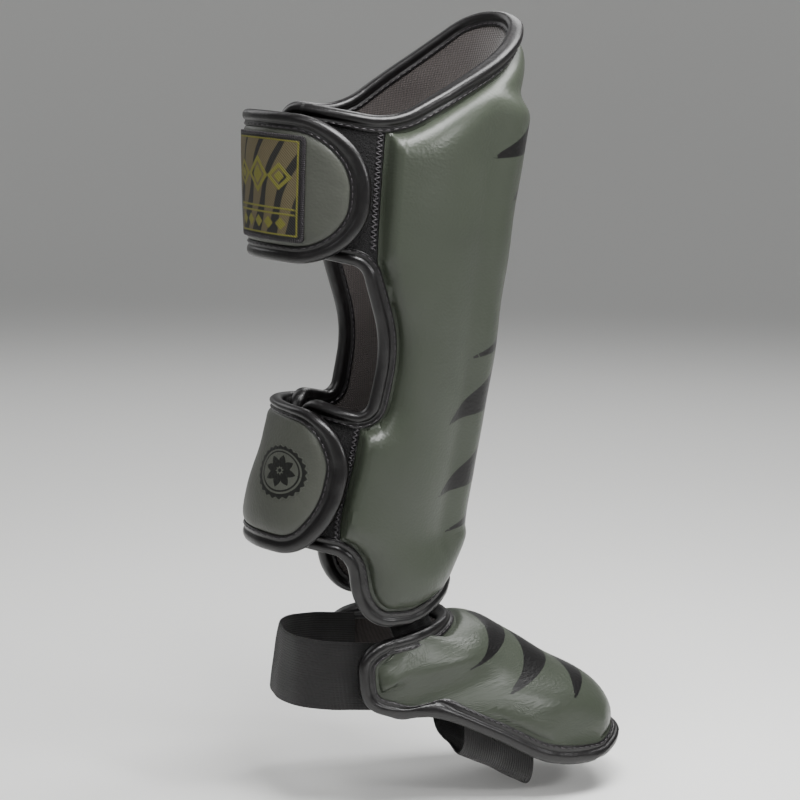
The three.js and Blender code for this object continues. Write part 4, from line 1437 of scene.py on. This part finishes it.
@dataclass
class ShinShell:
    """Padded shin shell with its lining, wings and binding."""

    leg: LegHollow
    rise: float = 11.0
    bar_rise: float = 10.5
    bar_width: float = 72.0
    bar_top: float = SHIN_HEIGHT * 0.89
    bar_foot: float = SHIN_HEIGHT * 0.115
    bar_flank: float = 13.0
    margin: float = 9.0
    roll: float = 11.0
    seam_margin: float = 1.2
    seam_roll: float = 6.0
    parting: float = (UPPER_LEVEL + LOWER_LEVEL) / 2
    notch: tuple[float, float] = (-0.27, 0.36)  # shares of girth and height
    notch_reach: tuple[float, float] = (20.0, math.sqrt(500))
    fineness: float = 2.4
    lip_rows: tuple[float, ...] = (1.5, 2.6, 3.0, 3.8, 5.2)
    roll_rows: tuple[float, ...] = (-1.2, 0, 0.35, 0.9, 1.8, 3.2, 5.2, 7.8, 11.0)  # from the margin
    wing_gap: float = 0.4  # between the pad and the loop panels
    pad_rounds: int = 9
    lining_spacing: float = 4.0
    loop_spacing: float = 2.6
    seam_rows: tuple = ((UPPER_SEAM, 0.617, 0.8), (LOWER_SEAM, 0.155, 0.348))  # seam, low, high
    row_gap: float = 2.6  # seam to the middle of its row of stitches

    @property
    def outline(self) -> Array:
        """Outline of the whole shell."""
        girth, height = self.leg.girth, self.leg.height
        return evenly(rounded([(c.round * girth, c.up * height, c.bend) for c in SHELL]), OUTLINE_STEP)

    def seam(self, spots: Array) -> Array:
        """Seam between the pad and the wings on the outer side."""
        share = np.where(spots[:, 1] > self.parting, UPPER_SEAM, LOWER_SEAM)
        return -share * self.leg.girth

    def bar(self, spots: Array) -> Array:
        """Height of the raised bar over the shin bone."""
        side = self.bar_width / 2 + 2 - np.abs(spots[:, 0])
        ends = np.minimum(self.bar_top - spots[:, 1], spots[:, 1] - self.bar_foot)
        flank = 0.5 * eased(side / self.bar_flank) + 0.5 * swell((side - 2) / (self.bar_flank - 2))
        return self.bar_rise * flank * swell(ends / self.roll)

    def pad_height(self, spots: Array) -> Array:
        """Outer face of the pad, with its crease, roll, raised bar and small wrinkles."""
        distance, run = Edge(self.leg, self.outline).measure(spots)
        off_seam = spots[:, 0] - self.seam(spots)
        off_wing = -self.seam(spots) - spots[:, 0]
        bound = swell((distance - self.margin) / self.roll)
        sewn = eased((off_seam - self.seam_margin) / self.seam_roll + 0.08)
        flat = eased((off_wing - self.margin) / self.roll)
        full = np.minimum(np.minimum(bound, sewn), flat)
        puckers = Ripples(11, 10.0, 0.2).at(run) * bell(distance - 15, 7)
        at_notch = bell(spots[:, 0] - self.notch[0] * self.leg.girth, self.notch_reach[0])
        at_notch = at_notch * bell(spots[:, 1] - self.notch[1] * self.leg.height, self.notch_reach[1])
        folds = at_notch * 0.7 * np.sin(run / 1.6)
        drift = Ripples(23, 62.0, 0.4).over(spots)
        crease = -0.5 * bell(distance - self.margin, 0.9)
        body = self.rise + puckers + folds + drift
        return LAYERS.cover_out + full * body + crease + np.where(full > 0, self.bar(spots), 0)

    def build(self) -> None:
        """Builds and dresses the pieces."""
        shell = self.outline
        self.pad(evenly(trimmed(shell, lambda s: s[:, 0] - self.seam(s)), OUTLINE_STEP))
        self.line(shell)

        def past(s: Array) -> Array:
            """How far beyond the seam spots lie."""
            return self.seam(s) - self.wing_gap - s[:, 0]

        upper = trimmed(shell, lambda s: np.minimum(past(s), s[:, 1] - self.parting))
        lower = trimmed(shell, lambda s: np.minimum(past(s), self.parting - s[:, 1]))
        self.loop("upper_loop_cloth", upper, "upper_loop_panel")
        self.loop("lower_loop_cloth", lower, "lower_loop_panel")
        section = LAYERS.trim(0.0, LAYERS.cover_out)
        trim = swept("shin_trim", self.leg, shell, section, Ripples(5, 13.0, 0.16))
        TRIM_VINYL.dress(trim, "shin_binding")
        self.sew(shell)

    def pad(self, outline: Array) -> None:
        """Builds the padded cover with its print."""
        rows = [*self.lip_rows, *(self.margin + row for row in self.roll_rows)]
        net = net_of(self.leg, outline, self.fineness, rows)
        cover = slab("shin_pad_cover", self.leg, net, LAYERS.cover_in, self.pad_height(net.spots))
        inside = Edge(self.leg, outline).measure(net.spots)[0] - self.margin
        relax(cover, net, inside, self.roll, self.pad_rounds)
        mark(cover, "ink", shin_print(net.spots))
        SHELL_LEATHER.dress(cover, "shin_pad")

    def line(self, shell: Array) -> None:
        """Builds the lining, softly quilted by the foam behind it."""
        net = net_of(self.leg, shell, self.lining_spacing)
        distance = Edge(self.leg, shell).measure(net.spots)[0]
        low = (Ripples(31, 30.0, 0.5).over(net.spots) - 0.6) * eased((distance - 6) / 12)
        lining = slab("shin_lining_cloth", self.leg, net, low, LAYERS.lining)
        flat, area = sheet_size(net, self.leg)
        LINING_CLOTH.dress(lining, "shin_lining")

    def loop(self, name: str, outline: Array, node: str) -> None:
        """Builds a loop panel of a wing, with its pile."""
        net = net_of(self.leg, outline, self.loop_spacing)
        pile = Ripples(len(name), 3.2, 0.12, 9).over(net.spots)
        piece = slab(name, self.leg, net, LAYERS.cover_in, LAYERS.cover_out + 0.1 + pile)
        flat, area = sheet_size(net, self.leg)
        LOOP_CLOTH.dress(piece, node)

    def sew(self, shell: Array) -> None:
        """Adds the stitches of the binding and of the seams beside the loop panels."""
        thread = Thread()
        thread.bind(self.leg, shell, 0.0, LAYERS.cover_out)
        for share, low, high in self.seam_rows:
            across = -share * self.leg.girth - self.row_gap
            line = np.column_stack([np.full(60, across), np.linspace(low, high, 60) * self.leg.height])
            thread.zigzag(self.leg, line, 1.5, 1.7, LAYERS.cover_out + 0.4)
        THREAD.dress(thread.piece("shin_stitches"))


STRAP_PUFF = 1.5  # how far a strap's body stands over its sewn margin


def strap_drift(width: float, spots: Array) -> Array:
    """Unevenness of the body of the strap of that width, and of what lies on it."""
    return Ripples(int(width), 46.0, 0.35).over(spots)


@dataclass
class CalfStrap:
    """Wide strap round the calf with its binding and hook panel."""

    leg: LegHollow
    name: str
    level: float
    width: float
    seam: float
    tip: float
    root_gap: float = 0.004
    root_bend: float = 9.0
    end: float = 37.0
    hook_inset: float = 19.0
    box_start: float = 13.0  # edge of the root to the sewn box
    box_height: float = 40.0
    box_share: float = 0.72
    rows: tuple[float, ...] = (5.5, 7.2, 7.8, 8.8, 10.4, 12.6)
    spacing: float = 2.8
    margin: float = 7.4
    roll: float = 5.5
    box_pitch: float = 3.6
    box_lift: float = 0.25  # thread of the box over the strap's body

    @property
    def root(self) -> float:
        """Place across of the sewn end."""
        return (self.seam + self.root_gap) * self.leg.girth

    @property
    def outline(self) -> Array:
        """Outline from the square root to the round free end."""
        low, high = self.level - self.width / 2, self.level + self.width / 2
        bends = (self.root_bend, self.root_bend, self.end, self.end)
        return panel(self.root, self.tip * self.leg.girth, low, high, bends)

    def build(self) -> None:
        """Builds and dresses the pieces."""
        outline = self.outline
        net = net_of(self.leg, outline, self.spacing, self.rows)
        distance, run = Edge(self.leg, outline).measure(net.spots)
        body = STRAP_PUFF * swell((distance - self.margin) / self.roll)
        uneven = Ripples(int(self.level), 10.0, 0.16).at(run) * bell(distance - 10, 5)
        uneven = uneven + strap_drift(self.width, net.spots)
        high = LAYERS.strap_out + body + uneven * eased((distance - 7) / 5)
        cover = slab(f"{self.name}_cover", self.leg, net, LAYERS.strap_in, high)
        STRAP_LEATHER.dress(cover, self.name)
        section = LAYERS.trim(LAYERS.strap_in, LAYERS.strap_out)
        puckers = Ripples(int(self.level) + 1, 12.0, 0.14)
        trim = swept(f"{self.name}_trim", self.leg, outline, section, puckers)
        TRIM_VINYL.dress(trim, f"{self.name}_binding")
        self.hook(outline)
        self.sew(outline)

    def hook(self, outline: Array) -> None:
        """Builds the hook panel that grips the loop panel."""
        lead = (LAYERS.leg + LAYERS.gap) * self.leg.stretch(self.level)
        wing = (1 - OUTER_WING) * self.leg.girth + lead * 1.25
        inset = self.leg.inward(evenly(outline, SWEEP_STEP), self.hook_inset)
        net = net_of(self.leg, trimmed(inset, lambda s: s[:, 0] - wing), 4.0)
        name = self.name.replace("strap", "hook")
        piece = slab(f"{name}_tape", self.leg, net, LAYERS.hook_in - 0.3, LAYERS.strap_in + 0.4)
        HOOK_TAPE.dress(piece, f"{name}_panel")

    def sew(self, outline: Array) -> None:
        """Adds the stitches of the binding and the crossed box that holds the root."""
        thread = Thread()
        thread.bind(self.leg, outline, LAYERS.strap_in, LAYERS.strap_out)
        tall = self.box_height / 2
        left, right = self.root + self.box_start, self.root + INNER_WING * self.leg.girth * self.box_share
        box = [(left, -tall), (right, -tall), (right, tall), (left, tall), (left, -tall)]
        height = LAYERS.strap_out + STRAP_PUFF + self.box_lift
        for line in (box, [(left, -tall), (right, tall)], [(left, tall), (right, -tall)]):
            path = np.array([(a, b + self.level) for a, b in line])
            at = np.linspace(0, len(path) - 1, 40 * (len(path) - 1) + 1)
            thread.row(self.leg, sampled(path, np.arange(len(path)), at), self.box_pitch, height)
        THREAD.dress(thread.piece(f"{self.name}_stitches"))


@dataclass
class Badges:
    """Woven badge on the upper strap and printed seal on the lower one."""

    leg: LegHollow
    badge_at: float = 0.55
    badge_width: float = 58.0
    badge_height: float = 60.0
    badge_bend: float = 3.0
    badge_thick: float = 0.9
    seal_at: float = 0.585
    seal_radius: float = 16.0
    seal_rise: float = 0.16
    border_pitch: float = 1.15
    border_reach: tuple[float, float] = (-0.15, 2.1)  # inward from the edge
    border_height: float = 1.15
    border_thread: float = 1.0

    def build(self) -> None:
        """Builds and dresses both badges."""
        self.build_badge()
        self.build_seal()

    def build_badge(self) -> None:
        """Builds the woven badge with its overlocked border."""
        stretch = self.leg.stretch(UPPER_LEVEL)
        centre = self.badge_at * self.leg.girth
        half, tall = self.badge_width / 2 * stretch, self.badge_height / 2
        low, high = UPPER_LEVEL - tall, UPPER_LEVEL + tall
        outline = panel(centre - half, centre + half, low, high, [self.badge_bend] * 4)
        net = net_of(self.leg, outline, 0.9, [0.3])
        distance = Edge(self.leg, outline).measure(net.spots)[0]
        top = LAYERS.strap_out + STRAP_PUFF
        face = top + 0.2 + self.badge_thick * swell(distance / 1.6) + strap_drift(UPPER_WIDTH, net.spots)
        piece = slab("upper_strap_badge", self.leg, net, top - 1.0, face)
        spots = np.column_stack([(net.spots[:, 0] - centre) / stretch, net.spots[:, 1] - UPPER_LEVEL])
        figures, stripes = badge_figures(spots, self.badge_width / 2, tall)
        mark(piece, "ink", figures)
        mark(piece, "stripe", stripes)
        BADGE_CLOTH.dress(piece, "upper_strap_patch")
        thread = Thread()
        ring = evenly(outline, self.border_pitch)
        starts, ends = (self.leg.inward(ring, reach) for reach in self.border_reach)
        thread.add(self.leg, starts, ends, top + self.border_height, self.border_thread)
        THREAD.dress(thread.piece("upper_strap_badge_border"))

    def build_seal(self) -> None:
        """Builds the printed seal as a film on the strap."""
        stretch = self.leg.stretch(LOWER_LEVEL)
        centre = self.seal_at * self.leg.girth
        turn = np.linspace(0, 2 * math.pi, 240, endpoint=False)
        reach = self.seal_radius - 0.2 + SEAL_TOOTH * np.cos(turn * SEAL_TEETH)
        across, along = reach * np.cos(turn) * stretch + centre, reach * np.sin(turn) + LOWER_LEVEL
        net = net_of(self.leg, np.column_stack([across, along]), 0.6)
        high = LAYERS.strap_out + STRAP_PUFF + strap_drift(LOWER_WIDTH, net.spots) + self.seal_rise
        piece = slab("lower_strap_seal_print", self.leg, net, high - 0.9, high)
        a, b = (net.spots[:, 0] - centre) / stretch, net.spots[:, 1] - LOWER_LEVEL
        mark(piece, "ink", seal_figures(a, b, self.seal_radius))
        SEAL_LEATHER.dress(piece, "lower_strap_seal")


@dataclass
class InstepGuard:
    """Padded instep with its lining and binding."""

    hollow: InstepHollow
    rise: float = 9.5
    roll: float = 13.0
    margin: float = 9.0
    dent: float = 3.4
    flank_puff: float = 2.0  # fuller foam beside the ankle bones
    toe_bend: float = 24.0
    collar_bend: float = 13.0
    roll_rows: tuple[float, ...] = (-1.2, 0, 0.35, 0.9, 1.8, 3.4, 5.8, 9.0, 13.0)  # from the margin
    spacing: float = 2.2
    lining_spacing: float = 3.5
    pad_rounds: int = 24

    @property
    def outline(self) -> Array:
        """Outline with rounder corners at the toes than at the collar."""
        bends = (self.collar_bend, self.toe_bend, self.toe_bend, self.collar_bend)
        return panel(-self.hollow.arch, self.hollow.arch, 0.0, self.hollow.run, bends)

    def height(self, spots: Array, distance: Array, run: Array) -> Array:
        """Outer face of the pad, with the valleys that the bending foot presses into it.

        Args:
            spots: Places on the flat pattern.
            distance: How far each lies from the edge.
            run: Running length of the edge there.

        Returns:
            Height at each spot.
        """
        out, up = np.abs(spots[:, 0]) / self.hollow.arch, spots[:, 1] / self.hollow.run
        valley = self.dent * bell(out - 0.46, 0.17) * bell(up - 0.5, 0.2)
        puff = self.flank_puff * bell(out - 0.7, 0.24) * bell(up - 0.76, 0.2)
        puckers = Ripples(47, 13.0, 0.22).at(run) * bell(distance - 16, 8)
        drift = Ripples(53, 44.0, 0.55).over(spots)
        full = swell((distance - self.margin) / self.roll)
        crease = -0.3 * bell(distance - self.margin, 1.4)
        return LAYERS.cover_out + full * (self.rise - valley + puff + puckers + drift) + crease

    def build(self) -> None:
        """Builds and dresses the pieces."""
        outline = self.outline
        self.pad(outline)
        inner = net_of(self.hollow, outline, self.lining_spacing)
        lining = slab("instep_lining_cloth", self.hollow, inner, -0.2, LAYERS.lining)
        flat, area = sheet_size(inner, self.hollow)
        LINING_CLOTH.dress(lining, "instep_lining")
        section = LAYERS.trim(0.0, LAYERS.cover_out)
        trim = swept("instep_trim", self.hollow, outline, section, Ripples(61, 13.0, 0.16))
        TRIM_VINYL.dress(trim, "instep_binding")
        thread = Thread()
        thread.bind(self.hollow, outline, 0.0, LAYERS.cover_out)
        THREAD.dress(thread.piece("instep_stitches"))

    def pad(self, outline: Array) -> None:
        """Builds the padded cover with its print."""
        rows = [self.margin + row for row in self.roll_rows]
        net = net_of(self.hollow, outline, self.spacing, rows)
        distance, run = Edge(self.hollow, outline).measure(net.spots)
        high = self.height(net.spots, distance, run)
        cover = slab("instep_cover", self.hollow, net, LAYERS.cover_in, high)
        relax(cover, net, distance - self.margin, self.roll, self.pad_rounds)
        mark(cover, "ink", instep_print(net.spots))
        SHELL_LEATHER.dress(cover, "instep_pad")


@dataclass
class FabricBands:
    """Elastic bands of the foot and the fabric hinge over the ankle."""

    ankle: AnkleLoop
    foot: FootLoop
    link: LinkFold
    elastic: float = 1.6
    soft_edge: float = 0.35  # how much thinner a band is at its edges
    link_out: float = -4.2
    link_thick: float = 1.8
    spacing: float = 2.4
    bends: tuple[float, ...] = (1.0, 1.0, 1.0, 1.0)

    def band(self, name: str, surface: Surface, half: float, length: float, node: str) -> None:
        """Builds an elastic band with soft edges."""
        net = net_of(surface, panel(-half, half, 0.0, length, self.bends), self.spacing, [0.5, 1.2])
        edge = np.minimum(net.spots[:, 1], length - net.spots[:, 1])
        pull = Ripples(int(half), 26.0, 0.35).over(net.spots)
        puff = self.soft_edge * eased(edge / 1.4) - self.soft_edge
        piece = slab(name, surface, net, -self.elastic - puff + pull, puff + pull)
        ELASTIC.dress(piece, node)
        flat, area = sheet_size(net, surface)

    def build(self) -> None:
        """Builds and dresses the pieces."""
        self.band("ankle_elastic", self.ankle, self.ankle.arch, self.ankle.band, "ankle_strap")
        self.band("foot_elastic", self.foot, self.foot.arch, self.foot.band, "foot_strap")
        outline = panel(-self.link.half, self.link.half, 0.0, self.link.length, self.bends)
        net = net_of(self.link, outline, self.spacing)
        folds = Ripples(71, 15.0, 0.5).at(net.spots[:, 0])
        low = self.link_out - self.link_thick + folds
        piece = slab("ankle_hinge_cloth", self.link, net, low, self.link_out + folds)
        LINK_CLOTH.dress(piece, "ankle_link")
        flat, area = sheet_size(net, self.link)


# ---------------------------------------------------------------- studio


@dataclass(frozen=True)
class Lamp:
    """Soft square lamp, placed in degrees round and over the object and metres from it.

    Round is 0 in front of the outer side and 90 ahead of the toes.
    """

    name: str
    azimuth: float
    elevation: float
    away: float
    size: float
    watts: float


LAMPS = (
    Lamp("key_lamp", 88, 58, 0.9, 0.4, 8),
    Lamp("strip_lamp", 40, 24, 1.2, 0.2, 5),
    Lamp("top_lamp", 6, 66, 0.75, 0.4, 12),
    Lamp("fill_lamp", -56, 38, 2.0, 0.9, 7),
    Lamp("rim_lamp", 150, 40, 2.0, 1.0, 12),
    Lamp("back_lamp", -150, 35, 2.2, 1.4, 9),
)


@dataclass
class Studio:
    """Pale floor that sweeps up all round, soft lamps and the camera. Its lengths are metres."""

    floor_level: float = -0.1105
    flat_rows: tuple[float, float, int] = (0.5, 3.0, 8)
    sweep_rows: tuple[float, float, int] = (3.2, 4.6, 16)
    sweep: tuple[float, float] = (1.61, 1.4)  # width and height of the part that rises
    sides: int = 96
    azimuth: float = -14.0
    elevation: float = 8.4
    target: tuple[float, float, float] = (0.028, 0.0, 0.135)
    distance: float = 1.29
    lens: float = 94.62  # in millimetres, like the sensor
    sensor: float = 36.0
    paper: str = "#e2e2e0"
    paper_glow: float = 0.16
    sky: str = "#f2f4f6"
    sky_strength: float = 0.12

    def paper_looks(self, tree: bpy.types.NodeTree) -> dict:
        """Matt paper with a faint glow, as an evenly lit backdrop has."""
        shade = linear(self.paper)
        glow = {"Emission Color": shade, "Emission Strength": self.paper_glow}
        return {"Base Color": shade, "Roughness": 0.9} | glow

    def floor(self) -> None:
        """Builds the sweep of pale paper."""
        n = self.sides
        radii = np.concatenate([np.linspace(*self.flat_rows), np.linspace(*self.sweep_rows)])
        wide, tall = self.sweep
        part = ((radii - self.flat_rows[1]) / wide).clip(0)
        rise = tall * (1 - np.sqrt(np.clip(1 - part**2, 0, 1)))
        turns = np.linspace(0, 2 * math.pi, n, endpoint=False)
        places = [(r * math.cos(t), r * math.sin(t), z) for r, z in zip(radii, rise) for t in turns]
        points = np.array([(0.0, 0.0, 0.0)] + places)
        points[:, 2] += self.floor_level
        faces = [[0, 1 + k, 1 + (k + 1) % n] for k in range(n)]
        for low in range(1, len(places) - n, n):
            faces += [[low + k, low + n + k, low + n + (k + 1) % n, low + (k + 1) % n] for k in range(n)]
        floor = write_mesh("studio_floor", points / MM, faces, points[:, :2] / MM)
        floor.data.materials.append(paint("matt_paper", self.paper_looks))
        floor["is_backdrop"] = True

    def aimed(
        self, name: str, data: bpy.types.ID, azimuth: float, elevation: float, away: float
    ) -> bpy.types.Object:
        """Puts a lamp or camera round the object, facing it."""
        thing = bpy.data.objects.new(name, data)
        bpy.context.scene.collection.objects.link(thing)
        a, e = math.radians(azimuth), math.radians(elevation)
        back = Vector((math.sin(a) * math.cos(e), -math.cos(a) * math.cos(e), math.sin(e)))
        thing.location = Vector(self.target) + back * away
        thing.rotation_euler = (-back).to_track_quat("-Z", "Y").to_euler()
        return thing

    def build(self) -> None:
        """Builds the floor, lamps, sky and camera."""
        self.floor()
        for lamp in LAMPS:
            data = bpy.data.lights.new(lamp.name, "AREA")
            data.shape, data.size, data.energy = "SQUARE", lamp.size, lamp.watts
            self.aimed(lamp.name, data, lamp.azimuth, lamp.elevation, lamp.away)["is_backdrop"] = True
        world = bpy.data.worlds.new("pale_sky")
        world.use_nodes = True
        sky = world.node_tree.nodes["Background"].inputs
        sky["Color"].default_value, sky["Strength"].default_value = linear(self.sky), self.sky_strength
        bpy.context.scene.world = world
        data = bpy.data.cameras.new("photo_camera")
        data.lens, data.sensor_width = self.lens, self.sensor
        camera = self.aimed(data.name, data, self.azimuth, self.elevation, self.distance)
        bpy.context.scene.camera = camera


BAND_PLAY = 1.4  # between a band and the binding beside it


def corners() -> list[list[float]]:
    """Lowest and highest corner of what is shown, as plain lists."""
    return [[float(value) for value in corner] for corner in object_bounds()]


def main() -> None:
    """Builds the guard and the studio."""
    logging.basicConfig(level=logging.INFO, format="%(message)s")
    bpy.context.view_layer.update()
    leg, hollow = LegHollow(), InstepHollow()
    shell = ShinShell(leg)
    shell.build()
    CalfStrap(leg, "upper_strap", UPPER_LEVEL, UPPER_WIDTH, UPPER_SEAM, 0.706).build()
    CalfStrap(leg, "lower_strap", LOWER_LEVEL, LOWER_WIDTH, LOWER_SEAM, 0.692).build()
    Badges(leg).build()
    InstepGuard(hollow).build()
    inset = -LAYERS.web - LAYERS.ease - BAND_PLAY
    link = LinkFold(leg, hollow, shell.outline, LAYERS.web + LAYERS.gap)
    FabricBands(AnkleLoop(hollow, inset), FootLoop(hollow, inset), link).build()
    Studio().build()


if __name__ == "__main__":
    main()
